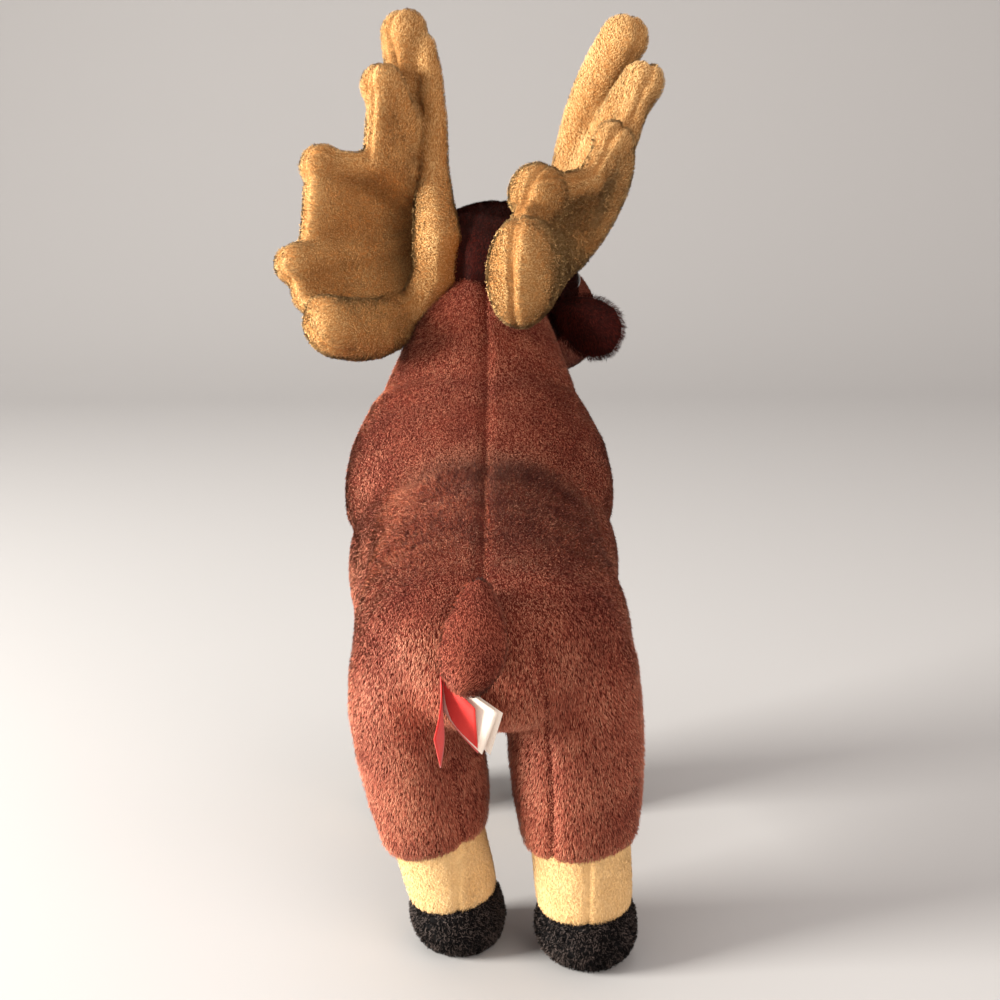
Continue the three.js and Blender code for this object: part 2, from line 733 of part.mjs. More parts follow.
// Body cloth: the sewn form, less the room for everything that turns in it
function torsoCut(solid, extra) {
  const grow = JOINT_GAP + extra;
  const neck = neckRings(grow, INNER_SIDES, CLEAR_SHARE).slice(0, DOME_STEPS + NECK_SOCKET_RINGS);
  let cut = cutSocket(solid, toy, neck.flat(), neckFrame, X, NECK_NOD);
  for (const leg of legs) {
    const low = LEG_SOCKET_SHARE * HIP_HEIGHT;
    const thigh = legRings(leg, low, HIP_HEIGHT, grow, true, INNER_SIDES, CLEAR_SHARE);
    cut = cutSocket(cut, toy, thigh.flat(), leg.frame, X, LEG_SWING);
  }
  const tail = tailRings(grow);
  cut = cutSocket(cut, toy, tail.slice(0, ROOT_RINGS).flat(), tailFrame, X, TAIL_LIFT);
  return cutSocket(cut, toy, tail.flat(), tailFrame, X, [0]);
}

// The closing seam along the belly, where the filling went in
const CLOSING_SEAM_LENGTH = 60;
const CLOSING_SEAM_WIDTH = 1;
const bellySlit = new THREE.BoxGeometry(
  CLOSING_SEAM_WIDTH,
  CLOSING_SEAM_LENGTH,
  WITHERS_HEIGHT / 2,
).translate(0, 0, WITHERS_HEIGHT / 3);

const torsoHollow = torsoCut(torsoForm(SKIN, INNER_SIDES), SKIN);
const torsoSkin = torsoCut(torsoForm(0, TORSO_SIDES), 0);
const torso = torsoSkin.subtract(torsoHollow).subtract(solidOf(bellySlit));
const torsoFilling = torsoCut(torsoForm(SKIN + SEAM_GAP, INNER_SIDES), SKIN + SEAM_GAP);
toy.add(meshOf("torso", torso, brownPlush));
toy.add(meshOf("torso_filling", torsoFilling, whiteFibre));

// Neck and head
neckFrame.add(meshOf("neck", solidOf(loft(neckRings(0))), brownPlush));

const eyes = [-1, 1].map((side) => ({ side, frame: eyeFrame(side) }));
const nostrils = [-1, 1].map((side) => ({ side, frame: nostrilFrame(side) }));
const ears = [-1, 1].map((side) => ({
  side,
  frame: frameIn(headFrame, side * EAR_SIDE, -EAR_BACK - EAR_HALF_WIDTH, EAR_HEIGHT),
}));
const antlers = [-1, 1].map((side) => ({
  side,
  frame: frameIn(headFrame, side * ANTLER_SIDE, -ANTLER_FORWARD, ANTLER_HEIGHT),
}));
const NAMES = { 1: "left", "-1": "right" };

function headCut(solid, extra) {
  const grow = JOINT_GAP + extra;
  const toHead = between(neckFrame, headFrame);
  const neck = neckRings(grow, INNER_SIDES, CLEAR_SHARE)
    .slice(-DOME_STEPS - NECK_SOCKET_RINGS)
    .flat()
    .map((p) => p.applyMatrix4(toHead));
  const neckTurns = HEAD_YAW.map((angle) => -angle);
  let cut = cutSocket(solid, headFrame, neck, headFrame, Z, neckTurns);
  for (const { side, frame } of ears) {
    const root = earRings(side, grow).slice(0, ROOT_RINGS).flat();
    const folds = EAR_FOLD.map((angle) => side * angle);
    cut = cutSocket(cut, headFrame, root, frame, Z, folds);
  }
  for (const { side, frame } of antlers) {
    cut = cutSocket(cut, headFrame, antlerRootPoints(side, grow), frame, Y, ANTLER_FLEX);
    cut = cutSocket(cut, headFrame, lowPalmPoints(side, grow), frame, Y, ANTLER_FLEX);
  }
  return cut;
}

const headHollow = headCut(solidOf(skull(SKIN, INNER_SIDES)), SKIN);
let head = headCut(solidOf(skull(0, HEAD_SIDES)), 0).subtract(headHollow);
let headFilling = headCut(solidOf(skull(SKIN + SEAM_GAP, INNER_SIDES)), SKIN + SEAM_GAP);
for (const { frame } of eyes) {
  head = cutSeat(head, headFrame, eyeForm(SEAM_GAP), frame);
  head = cutSeat(head, headFrame, washerForm(SEAM_GAP), frame);
  headFilling = cutSeat(headFilling, headFrame, eyeForm(SEAM_GAP), frame);
  headFilling = cutSeat(headFilling, headFrame, washerForm(SEAM_GAP), frame);
}
headFrame.add(meshOf("head", head, maroonPlush));
headFrame.add(meshOf("head_filling", headFilling, whiteFibre));

let muzzle = solidOf(muzzleForm()).subtract(solidOf(skull(-SEAM_GAP, INNER_SIDES)));
for (const { frame } of nostrils) {
  muzzle = cutSeat(muzzle, headFrame, nostrilForm(SEAM_GAP), frame);
}
headFrame.add(meshOf("muzzle", muzzle, brownPlush));

for (const { side, frame } of eyes) {
  frame.add(meshOf("eye_" + NAMES[side], solidOf(eyeForm(0)), blackPlastic));
  frame.add(meshOf("eye_washer_" + NAMES[side], solidOf(washerForm(0)), clearPlastic));
}
for (const { side, frame } of nostrils) {
  frame.add(meshOf("nostril_" + NAMES[side], solidOf(nostrilForm(0)), blackThread));
}
for (const { side, frame } of ears) {
  frame.add(meshOf("ear_" + NAMES[side], solidOf(loft(earRings(side, 0))), maroonPlush));
}
for (const { side, frame } of antlers) {
  frame.add(meshOf("antler_" + NAMES[side], antlerForm(side), tanVelour));
}

// Legs: thigh cloth, cuff and hoof sewn in a row round one column of filling
const soleHeight = legShares[0][0] * HIP_HEIGHT;
const floor = new THREE.BoxGeometry(BODY_LENGTH, BODY_LENGTH, OVERRUN);
floor.translate(0, 0, -HIP_HEIGHT - OVERRUN / 2);
for (const leg of legs) {
  const stretch = (from, to, grow, ball, sides) =>
    solidOf(loft(legRings(leg, from, to, grow, ball, sides)));
  const hollow = stretch(SKIN, HIP_HEIGHT, -SKIN, true, INNER_SIDES);
  const filling = stretch(SKIN + SEAM_GAP, HIP_HEIGHT, -SKIN - SEAM_GAP, true, INNER_SIDES);
  const thigh = stretch(CUFF_TOP + SEAM_GAP, HIP_HEIGHT, 0, true).subtract(hollow);
  const cuff = stretch(HOOF_TOP + SEAM_GAP, CUFF_TOP, 0, false).subtract(hollow);
  const hoof = stretch(soleHeight, HOOF_TOP, 0, false).subtract(hollow);
  leg.frame.add(meshOf("leg_" + leg.name, thigh, brownPlush));
  leg.frame.add(meshOf("cuff_" + leg.name, cuff, creamVelour));
  leg.frame.add(meshOf("hoof_" + leg.name, hoof.subtract(solidOf(floor)), blackFleece));
  leg.frame.add(meshOf("leg_filling_" + leg.name, filling, whiteFibre));
}

tailFrame.add(meshOf("tail", solidOf(loft(tailRings(0))), brownPlush));
labelFrame.add(meshOf("label", labelForm(), redSatin));

// The frame's origin is under the middle of the whole toy's box.
toy.updateMatrixWorld(true);
const box = new THREE.Box3().setFromObject(toy, true);
toy.position.set(-(box.min.x + box.max.x) / 2, -(box.min.y + box.max.y) / 2, -box.min.z);
toy.updateMatrixWorld(true);

export default toy;
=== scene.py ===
import json
import math

import bpy
import numpy as np
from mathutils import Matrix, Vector


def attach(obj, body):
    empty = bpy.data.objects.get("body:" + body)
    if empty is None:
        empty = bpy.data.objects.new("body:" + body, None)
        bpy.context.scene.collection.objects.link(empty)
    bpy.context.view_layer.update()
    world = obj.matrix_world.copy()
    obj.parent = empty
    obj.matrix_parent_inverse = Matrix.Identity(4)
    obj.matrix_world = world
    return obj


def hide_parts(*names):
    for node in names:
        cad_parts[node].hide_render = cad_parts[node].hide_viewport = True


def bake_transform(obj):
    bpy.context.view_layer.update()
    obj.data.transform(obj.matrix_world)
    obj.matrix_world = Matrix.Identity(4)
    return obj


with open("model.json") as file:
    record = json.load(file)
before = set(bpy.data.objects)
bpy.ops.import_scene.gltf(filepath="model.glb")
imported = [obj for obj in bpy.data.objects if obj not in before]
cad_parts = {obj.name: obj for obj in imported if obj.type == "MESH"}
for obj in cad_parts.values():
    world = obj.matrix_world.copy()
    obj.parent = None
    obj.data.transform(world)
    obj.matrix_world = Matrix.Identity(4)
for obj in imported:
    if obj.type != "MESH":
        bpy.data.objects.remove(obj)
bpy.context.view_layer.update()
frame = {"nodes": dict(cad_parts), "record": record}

# Everything below is drawn in millimetres about the middle of the toy's body, with the nose
# towards -Y. The hips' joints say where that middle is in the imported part's own frame.
spots = {j["name"]: np.array(j["pos_m"]) * 1000 for j in frame["record"]["behaviour"]["joints"]}
middle = spots["leg_hind_left_swing"] - np.array([28, 58, 106])


def metres(points):
    return (np.asarray(points, float) + middle) / 1000


def placed(name, data):
    thing = bpy.data.objects.new(name, data)
    bpy.context.collection.objects.link(thing)
    return thing


# Floor: a pale sheet that runs back and turns up into a plain wall, with no edge in view.
BEND_Y, BEND_RADIUS, BEND_STEPS, FLOOR_DROP = -1.2, 0.8, 8, 0.0001
run = [(-FLOOR_DROP, y) for y in (3.0, BEND_Y)]
for step in range(1, BEND_STEPS + 1):
    turn = step / BEND_STEPS * math.pi / 2
    run.append((BEND_RADIUS * (1 - math.cos(turn)) - FLOOR_DROP, BEND_Y - BEND_RADIUS * math.sin(turn)))
run.append((4.0, BEND_Y - BEND_RADIUS))
sheet_points = [(x, y, z) for z, y in run for x in (-5, 5)]
sheet_faces = [(2 * i, 2 * i + 1, 2 * i + 3, 2 * i + 2) for i in range(len(run) - 1)]
floor_mesh = bpy.data.meshes.new("floor_sheet")
floor_mesh.from_pydata(sheet_points, [], sheet_faces)
floor_mesh.shade_smooth()
floor = placed("floor_sheet", floor_mesh)
paper = bpy.data.materials.new("pale_paper")
paper.use_nodes = True
matt = paper.node_tree.nodes["Principled BSDF"].inputs
matt["Base Color"].default_value = (0.44, 0.44, 0.44, 1)
matt["Roughness"].default_value = 0.8
floor_mesh.materials.append(paper)

# Camera: behind the toy, a little to its left and above, looking slightly down at its back.
lens = bpy.data.cameras.new("camera")
lens.lens = 54
lens.sensor_width = 36
lens.clip_end = 20
camera = placed("camera", lens)
camera.location = metres((18.6, 554, 280))
pitch, yaw = math.radians(12.7), math.radians(2.5)
ahead = Vector((-math.sin(yaw), -math.cos(yaw), -math.tan(pitch)))
camera.rotation_euler = ahead.to_track_quat("-Z", "Y").to_euler()
bpy.context.scene.camera = camera

# Light: a low warm window at the toy's left, a wide fill from its right and behind, and one above.
bpy.context.scene.view_settings.view_transform = "Standard"
for name, place, size, power, colour in (
    ("window", (1.25, 0.38, 0.44), 0.5, 56, (1, 0.955, 0.89)),
    ("fill", (-1.1, 1.5, 0.9), 1.6, 18, (1, 0.88, 0.82)),
    ("top", (0.2, -0.3, 1.5), 1.2, 9, (1, 0.98, 0.95)),
):
    lamp = bpy.data.lights.new(name, "AREA")
    lamp.size = size
    lamp.energy = power
    lamp.color = colour
    light = placed(name, lamp)
    light.location = place
    light.rotation_euler = (Vector((0, 0, 0.17)) - light.location).to_track_quat("-Z", "Y").to_euler()
world = bpy.data.worlds.new("room")
bpy.context.scene.world = world
world.use_nodes = True
glow = world.node_tree.nodes["Background"].inputs
glow["Color"].default_value = (0.85, 0.765, 0.72, 1)
glow["Strength"].default_value = 0.8

# Body cloth: brown pile sewn into one barrel with high withers, where the neck and the four
# thighs run out of it. The forms are drawn as rings, melted together, and the seams pressed in.
BODY_LENGTH, SHOULDER_WIDTH, WITHERS_HEIGHT, RUMP_Y = 194, 109, 168, 93
SQUARENESS = 2.25
X, Y, Z = np.eye(3)


def normed(way):
    """One direction, or one in each row, brought to length 1."""
    return way / (np.linalg.norm(way) if way.ndim == 1 else np.linalg.norm(way, axis=1, keepdims=True))


def ring(centre, across, along, half_across, half_along, sides=40, square=2.0):
    angle = np.arange(sides) / sides * 2 * math.pi
    c, s = np.cos(angle), np.sin(angle)
    c = np.sign(c) * np.abs(c) ** (2 / square) * half_across
    s = np.sign(s) * np.abs(s) ** (2 / square) * half_along
    return np.asarray(centre, float) + c[:, None] * across + s[:, None] * along


def loft(rings):
    sides, last = len(rings[0]), len(rings) - 1
    points = np.vstack([*rings, rings[0].mean(0)[None], rings[-1].mean(0)[None]])
    i = np.arange(sides)
    j = (i + 1) % sides
    faces = [np.stack([r * sides + i, r * sides + j, (r + 1) * sides + j, (r + 1) * sides + i], 1)
             for r in range(last)]
    first = np.stack([j, i, np.full(sides, len(points) - 2)], 1)
    end = np.stack([last * sides + i, last * sides + j, np.full(sides, len(points) - 1)], 1)
    faces = [tuple(f) for part in (*faces, first, end) for f in part.tolist()]
    a, b, c = (points[[f[k] for f in faces]] for k in (0, 1, 2))
    if np.einsum("ij,ij->", a, np.cross(b, c)) < 0:
        faces = [f[::-1] for f in faces]
    return points, faces


def relaxing(quads, count):
    """Gives a function that says, for each point, the way to the middle of its neighbours."""
    edges = np.vstack([quads[:, [k, (k + 1) % 4]] for k in range(4)])
    counts = np.bincount(edges[:, 0], minlength=count)[:, None].clip(1)

    def to_middle(points):
        total = np.stack([np.bincount(edges[:, 0], points[edges[:, 1], k], count) for k in range(3)], 1)
        return total / counts - points

    return to_middle


def melted(forms, grain, rounds):
    """Joins closed forms into one skin, then lets its corners soften without shrinking it."""
    points = np.vstack([p for p, _ in forms])
    starts = np.cumsum([0] + [len(p) for p, _ in forms])
    faces = [tuple(int(k) + s for k in f) for (_, part), s in zip(forms, starts) for f in part]
    mesh = bpy.data.meshes.new("lump")
    mesh.from_pydata((points / 1000).tolist(), [], faces)
    lump = placed("lump", mesh)
    remesh = lump.modifiers.new("remesh", "REMESH")
    remesh.mode = "VOXEL"
    remesh.voxel_size = grain / 1000
    made = lump.evaluated_get(bpy.context.evaluated_depsgraph_get()).to_mesh()
    points = np.empty(len(made.vertices) * 3)
    made.vertices.foreach_get("co", points)
    points = points.reshape(-1, 3) * 1000
    quads = np.array([tuple(f.vertices) for f in made.polygons if len(f.vertices) == 4])
    bpy.data.objects.remove(lump)
    to_middle = relaxing(quads, len(points))
    for step in range(2 * rounds):
        points = points + (0.5 if step % 2 == 0 else -0.52) * to_middle(points)
    return points, quads


def softened(points, quads, near, rounds):
    """Lets the skin relax where near is 1, so that a sharp fold becomes a soft dip."""
    to_middle = relaxing(quads, len(points))
    for _ in range(rounds):
        points = points + 0.6 * near[:, None] * to_middle(points)
    return points


def normals_of(points, quads):
    across = np.cross(points[quads[:, 2]] - points[quads[:, 0]], points[quads[:, 3]] - points[quads[:, 1]])
    corner, count = quads.ravel(), len(points)
    out = np.stack([np.bincount(corner, np.repeat(across[:, k], 4), count) for k in range(3)], 1)
    return out / np.maximum(np.linalg.norm(out, axis=1, keepdims=True), 1e-9)


def pressed(points, quads, distance, width, depth):
    """Presses a groove into the skin along the line from which distance is measured."""
    return points - normals_of(points, quads) * (depth * np.exp(-((distance / width) ** 2)))[:, None]


# Each row: how far along from the rump, top, bottom, half width, in shares of the body's sizes.
barrel_rows = [
    (0, 0.7, 0.62, 0.2), (0.02, 0.762, 0.585, 0.367), (0.057, 0.821, 0.565, 0.6),
    (0.119, 0.869, 0.545, 0.805), (0.211, 0.899, 0.503, 0.9), (0.335, 0.923, 0.455, 0.87),
    (0.479, 0.952, 0.415, 0.86), (0.624, 0.97, 0.393, 0.95), (0.747, 0.97, 0.387, 1.02),
    (0.861, 0.94, 0.417, 0.954), (0.943, 0.88, 0.488, 0.752), (0.985, 0.81, 0.571, 0.44),
    (1, 0.73, 0.65, 0.2),
]
barrel = loft([
    ring((-1.5 * math.sin(math.pi * s), RUMP_Y - s * BODY_LENGTH, (top + low) / 2 * WITHERS_HEIGHT), X, Z,
         half * SHOULDER_WIDTH / 2, (top - low) / 2 * WITHERS_HEIGHT, square=SQUARENESS)
    for s, top, low, half in barrel_rows
])

NECK_LENGTH, NECK_LEAN, NECK_BEND, NECK_SIDE = 111, math.radians(27.7), 0.6, -3
neck_up = np.array([0, -math.sin(NECK_LEAN), math.cos(NECK_LEAN)])
neck_back = np.array([0, math.cos(NECK_LEAN), math.sin(NECK_LEAN)])
neck_root = np.array([0, -69, 116])
neck_bend = neck_root + NECK_BEND * NECK_LENGTH * neck_up
crown = neck_root + NECK_LENGTH * neck_up + NECK_SIDE * X
# Each row: how far up the neck, half width, reach to the back and to the front, in shares.
withers_rows = [
    (0, 0.86, 0.55, 0.44), (0.13, 1.02, 0.78, 0.47), (0.25, 1.035, 0.9, 0.48),
    (0.4, 0.985, 0.8, 0.53), (0.51, 0.9, 0.69, 0.57), (0.6, 0.81, 0.63, 0.56), (0.64, 0.68, 0.5, 0.45),
]
unit = SHOULDER_WIDTH / 2
withers = loft([
    ring(neck_root + s * NECK_LENGTH * neck_up + (back - front) * unit / 2 * neck_back, X, neck_back,
         half * unit, (back + front) * unit / 2, square=SQUARENESS)
    for s, half, back, front in withers_rows
])

rise = (1 - NECK_BEND) * NECK_LENGTH
NECK_HALF_WIDTH, NECK_HALF_DEPTH = 43, 33.5
neck_rows = [(-0.6, 0.8, 0.8), (-0.3, 0.95, 0.95), (0, 1, 1), (0.25, 0.92, 0.95), (0.6, 0.78, 0.86),
             (0.85, 0.68, 0.82), (1, 0.6, 0.78), (1.25, 0.5, 0.65), (1.45, 0.25, 0.35)]
neck_tube = loft([
    ring(neck_bend + h * rise * neck_up + min(max((h + 0.4) / 1.4, 0), 1) * NECK_SIDE * X, X, neck_back,
         w * NECK_HALF_WIDTH, d * NECK_HALF_DEPTH)
    for h, w, d in neck_rows
])

# Each row: height, width and depth in shares, and how much of the leg's lean it has there.
HIP_HEIGHT, HEM, HEM_TUCK = 106, 44.5, 3.6
leg_rows = np.array([
    (-0.005, 0.5, 0.5, 1), (0.012, 0.64, 0.63, 1), (0.04, 0.75, 0.74, 1), (0.09, 0.81, 0.78, 0.98),
    (0.18, 0.79, 0.7, 0.89), (0.385, 0.82, 0.7, 0.6), (0.45, 0.9, 0.76, 0.48), (0.575, 0.99, 0.86, 0.36),
    (0.75, 1.04, 0.95, 0.18), (0.91, 1.03, 1, 0.03), (1, 0.98, 1, 0),
])
legs = {
    "hind_left": dict(hip=(28, 58), side=1, lean=-16.5, step=-10, wide=21, deep=25),
    "hind_right": dict(hip=(-28.8, 58), side=-1, lean=5.4, step=2, wide=22.3, deep=25),
    "front_left": dict(hip=(31, -66), side=1, lean=0, step=-8, wide=21.5, deep=24),
    "front_right": dict(hip=(-31, -66), side=-1, lean=3, step=-4, wide=21.5, deep=24),
}


def leg_axis(leg, height):
    """The middle of a leg at one height, and how much its cross sections slant there."""
    lean, below = (np.interp(h / HIP_HEIGHT, leg_rows[:, 0], leg_rows[:, 3]) for h in (height, height - 3))
    centre = np.array([leg["hip"][0] + lean * leg["lean"] * leg["side"],
                       leg["hip"][1] + lean * leg["step"], height])
    return centre, (lean - below) * leg["lean"] * leg["side"] / 3


def leg_ring(leg, height, fuller=0.0, sides=40):
    wide, deep = (np.interp(height / HIP_HEIGHT, leg_rows[:, 0], leg_rows[:, k]) for k in (1, 2))
    centre, slant = leg_axis(leg, height)
    across = np.array([1, 0, -slant]) / math.hypot(1, slant)
    return ring(centre, across, Y, wide * leg["wide"] + fuller, deep * leg["deep"] + fuller, sides)


def squared(leg, points, height):
    """Heights of points measured square to the leg near one height, which a hem follows."""
    centre, slant = leg_axis(leg, height)
    return points[:, 2] + slant * (points[:, 0] - centre[0])


thighs = []
for leg in legs.values():
    rings = [leg_ring(leg, h) for h in (30, 36, 41, 47.7, 54, 61, 70, 79.5, 88, 96.5, HIP_HEIGHT)]
    for angle in (0.3, 0.7, 1.1, 1.4):
        rings.append(ring((*leg["hip"], HIP_HEIGHT + leg["deep"] * math.sin(angle)), X, Y,
                          leg["wide"] * math.cos(angle), leg["deep"] * math.cos(angle)))
    thighs.append(loft(rings))

body_points, body_quads = melted([barrel, withers, neck_tube, *thighs], 2.2, 60)


FAR = 99  # millimetres: past the reach of any groove


def from_line(points, start, end):
    start, end = np.array(start, float), np.array(end, float)
    along = np.clip((points - start) @ (end - start) / ((end - start) @ (end - start)), 0, 1)
    return np.linalg.norm(points - start - along[:, None] * (end - start), axis=1)


def body_seams(points):
    """How far each point is from the sewn lines: along the spine, round the tail, down each hind leg."""
    above = (points[:, 2] > 128) | (points[:, 1] < -60)
    off_spine = np.abs(points[:, 0] - 0.7 - 0.045 * points[:, 1].clip(-90, 80))
    spine = np.where(above & (points[:, 1] > -118), off_spine, FAR)
    fork = np.minimum(*(from_line(points, (4, 78, 153), end) for end in ((-13, 92, 126), (17, 93, 118))))
    back = points[:, 1] > 50
    off_right = np.abs(points[:, 0] + 20.5 - 0.0012 * (points[:, 2] - 50).clip(0) ** 2)
    right = np.where(back & (points[:, 2] < 128), off_right, FAR)
    left = np.where(back & (points[:, 2] < 84), np.abs(points[:, 0] - 14 + (84 - points[:, 2]) * 0.1), FAR)
    belly = np.where((points[:, 2] < 80) & (np.abs(points[:, 1]) < 45), np.abs(points[:, 0]), FAR)
    return np.minimum.reduce([spine, fork, right, left, belly])


# The neck runs down into the back in one soft dip. Then come the seams, and the broad hollows
# behind the shoulders, the rise between them, the flanks' hollows and the one under the tail.
dip = np.exp(-(np.hypot(body_points[:, 1] + 38, body_points[:, 2] - 163) / 23) ** 2)
body_points = softened(body_points, body_quads, dip, 80)
body_points = pressed(body_points, body_quads, body_seams(body_points), 1.8, 1.3)
for start, end, width, depth in (
    ((50, -34, 150), (52, 6, 118), 8, 2.2),
    ((-50, -34, 150), (-52, 6, 118), 8, 2.2),
    ((0, -4, 168), (0, 30, 160), 14, -1.0),
    ((-50, 40, 118), (-44, 74, 138), 9, 1.2),
    ((50, 40, 118), (44, 74, 138), 9, 1.2),
    ((5, 84, 150), (8, 97, 122), 14, 3.4),
):
    body_points = pressed(body_points, body_quads, from_line(body_points, start, end), width, depth)
body_normals = normals_of(body_points, body_quads)

# Each point of the skin belongs to the neck, to the thigh that it runs down into, or to the body.
owner = np.zeros(len(body_points), int)
owner[(body_points - neck_bend + 10 * neck_up) @ neck_up > 0] = 1
leaning = np.interp(body_points[:, 2] / HIP_HEIGHT, leg_rows[:, 0], leg_rows[:, 3])
for number, (name, leg) in enumerate(legs.items(), 2):
    pair = [other for title, other in legs.items() if title[:4] == name[:4]]
    parting = leaning * sum(other["lean"] * other["side"] for other in pair) / 2
    out_from = (body_points[:, 0] - parting) * leg["side"]
    away = np.abs(body_points[:, 1] - leg["hip"][1] - leg["step"] * 0.2) / (leg["deep"] + 2)
    top = 78 + 44 * np.clip((out_from - 6) / 40, 0, 1) - 26 * away**4
    owner[(body_points[:, 2] < top) & (away < 1.15) & (out_from > 0)] = number


def part_of(number, tuck=4, per_ring=0.9):
    """The faces of one piece, and under its neighbours a hidden flange, so that it can bend there."""
    mine = owner == number
    own = mine[body_quads].any(1) & (owner[body_quads].max(1) == number)
    reach = np.full(len(body_points), float(FAR))
    reach[body_quads[own].ravel()] = 0
    for step in range(1, tuck + 1):
        near = reach[body_quads].min(1) < step
        touched = np.unique(body_quads[near])
        reach[touched] = np.minimum(reach[touched], step)
    faces = np.flatnonzero(reach[body_quads].max(1) < FAR)
    used, inverse = np.unique(body_quads[faces], return_inverse=True)
    depth = np.minimum(reach[used], tuck) * per_ring
    depth[depth > 0] += 0.5
    points = body_points[used] - body_normals[used] * depth[:, None]
    return points, inverse.reshape(-1, 4), own[faces]


def solid_piece(name, points, faces, material):
    mesh = bpy.data.meshes.new(name)
    mesh.from_pydata(metres(points).tolist(), [], [tuple(f) for f in faces])
    mesh.shade_smooth()
    mesh.materials.append(material)
    return placed(name, mesh)


# An uneven nap, used by every cloth: two tones that drift over the surface, with a fine grain.
nap = bpy.data.node_groups.new("uneven_nap", "ShaderNodeTree")
for title, kind, way in (
    ("Dark", "Color", "INPUT"), ("Light", "Color", "INPUT"), ("Patch", "Float", "INPUT"),
    ("Grain", "Float", "INPUT"), ("Color", "Color", "OUTPUT"), ("Height", "Float", "OUTPUT"),
    ("Roughness", "Float", "OUTPUT"), ("Normal", "Vector", "OUTPUT"),
):
    nap.interface.new_socket(title, in_out=way, socket_type="NodeSocket" + kind)
given, out = nap.nodes.new("NodeGroupInput"), nap.nodes.new("NodeGroupOutput")
where, patch, grain, both, risen, lifted, ramp, blended, shine, under, turned, own_way, mostly, evened = (
    nap.nodes.new("ShaderNode" + kind) for kind in (
        "TexCoord", "TexNoise", "TexNoise", "Math", "Attribute", "Math", "MapRange", "Mix", "MapRange",
        "Attribute", "VectorTransform", "NewGeometry", "Mix", "VectorMath")
)
patch.inputs["Detail"].default_value = 3
grain.inputs["Detail"].default_value = 2
# Each fibre is painted darker at its root and lighter at its tip, as painted shade down among the fibres.
risen.attribute_name = "rise"
for sum_node, share in ((both, 0.45), (lifted, 0.42)):
    sum_node.operation = "MULTIPLY_ADD"
    sum_node.inputs[1].default_value = share
ramp.inputs["From Min"].default_value = 0.5
ramp.inputs["From Max"].default_value = 1.2
blended.data_type = "RGBA"
shine.inputs["To Min"].default_value = 0.95
shine.inputs["To Max"].default_value = 0.7
# A fibre is lit mostly as the skin under it is, so that light follows the stuffed form.
under.attribute_name = "skin_way"
turned.vector_type = "NORMAL"
turned.convert_from, turned.convert_to = "OBJECT", "WORLD"
mostly.data_type = "VECTOR"
mostly.inputs["Factor"].default_value = 0.3
evened.operation = "NORMALIZE"
for source, said, target, heard in (
    (where, "Object", patch, "Vector"), (where, "Object", grain, "Vector"),
    (given, "Patch", patch, "Scale"), (given, "Grain", grain, "Scale"),
    (grain, "Fac", both, 0), (patch, "Fac", both, 2), (risen, "Fac", lifted, 0), (both, 0, lifted, 2),
    (lifted, 0, ramp, "Value"), (ramp, "Result", blended, "Factor"), (given, "Dark", blended, "A"),
    (given, "Light", blended, "B"), (blended, "Result", out, "Color"), (grain, "Fac", out, "Height"),
    (ramp, "Result", shine, "Value"), (shine, "Result", out, "Roughness"),
    (under, "Vector", turned, "Vector"), (turned, "Vector", mostly, 4), (own_way, "Normal", mostly, 5),
    (mostly, 1, evened, 0), (evened, "Vector", out, "Normal"),
):
    nap.links.new(source.outputs[said], target.inputs[heard])


def srgb(*values):
    return tuple((v / 255 / 12.92) if v <= 10 else ((v / 255 + 0.055) / 1.055) ** 2.4 for v in values)


def cloth(name, dark, light, patch_size=22, grain_size=0.8, sheen=0.0, bump=0.4, sheen_tint=(1, 1, 1),
          gloss=0.15):
    """A cloth of two sRGB tones, or a fibre of them when bump is 0. Sizes are in millimetres."""
    material = bpy.data.materials.new(name)
    material.use_nodes = True
    tree = material.node_tree
    shader = tree.nodes["Principled BSDF"]
    tone = tree.nodes.new("ShaderNodeGroup")
    tone.node_tree = nap
    tone.inputs["Dark"].default_value = (*srgb(*dark), 1)
    tone.inputs["Light"].default_value = (*srgb(*light), 1)
    tone.inputs["Patch"].default_value = 1000 / patch_size
    tone.inputs["Grain"].default_value = 1000 / grain_size
    tree.links.new(tone.outputs["Color"], shader.inputs["Base Color"])
    tree.links.new(tone.outputs["Roughness"], shader.inputs["Roughness"])
    shader.inputs["Specular IOR Level"].default_value = gloss
    shader.inputs["Sheen Weight"].default_value = sheen
    shader.inputs["Sheen Roughness"].default_value = 0.5
    shader.inputs["Sheen Tint"].default_value = (*sheen_tint, 1)
    if not bump:
        tree.links.new(tone.outputs["Normal"], shader.inputs["Normal"])
        material.cycles.use_bump_map_correction = False
    else:
        raised = tree.nodes.new("ShaderNodeBump")
        raised.inputs["Strength"].default_value = bump
        raised.inputs["Distance"].default_value = 0.0006
        tree.links.new(tone.outputs["Height"], raised.inputs["Height"])
        tree.links.new(raised.outputs["Normal"], shader.inputs["Normal"])
    return material


def waves(points, size, seed, count=6):
    """A smooth random value from about -1 to 1 at each point, which changes over size millimetres."""
    chance = np.random.default_rng(seed)
    total = np.zeros(len(points))
    for _ in range(count):
        way = chance.normal(size=3)
        way *= 2 * math.pi / size / np.linalg.norm(way) * chance.uniform(0.6, 1.5)
        total += np.sin(points @ way + chance.uniform(0, 2 * math.pi))
    return total / math.sqrt(count / 2) / 1.6


# A fibre is rooted below the skin, bends at its knee and is cropped beside a seam.
ROOT_DEPTH, KNEE_BEND, SEAM_CROP, SEAM_REACH = 0.3, 0.5, 0.6, 1.4


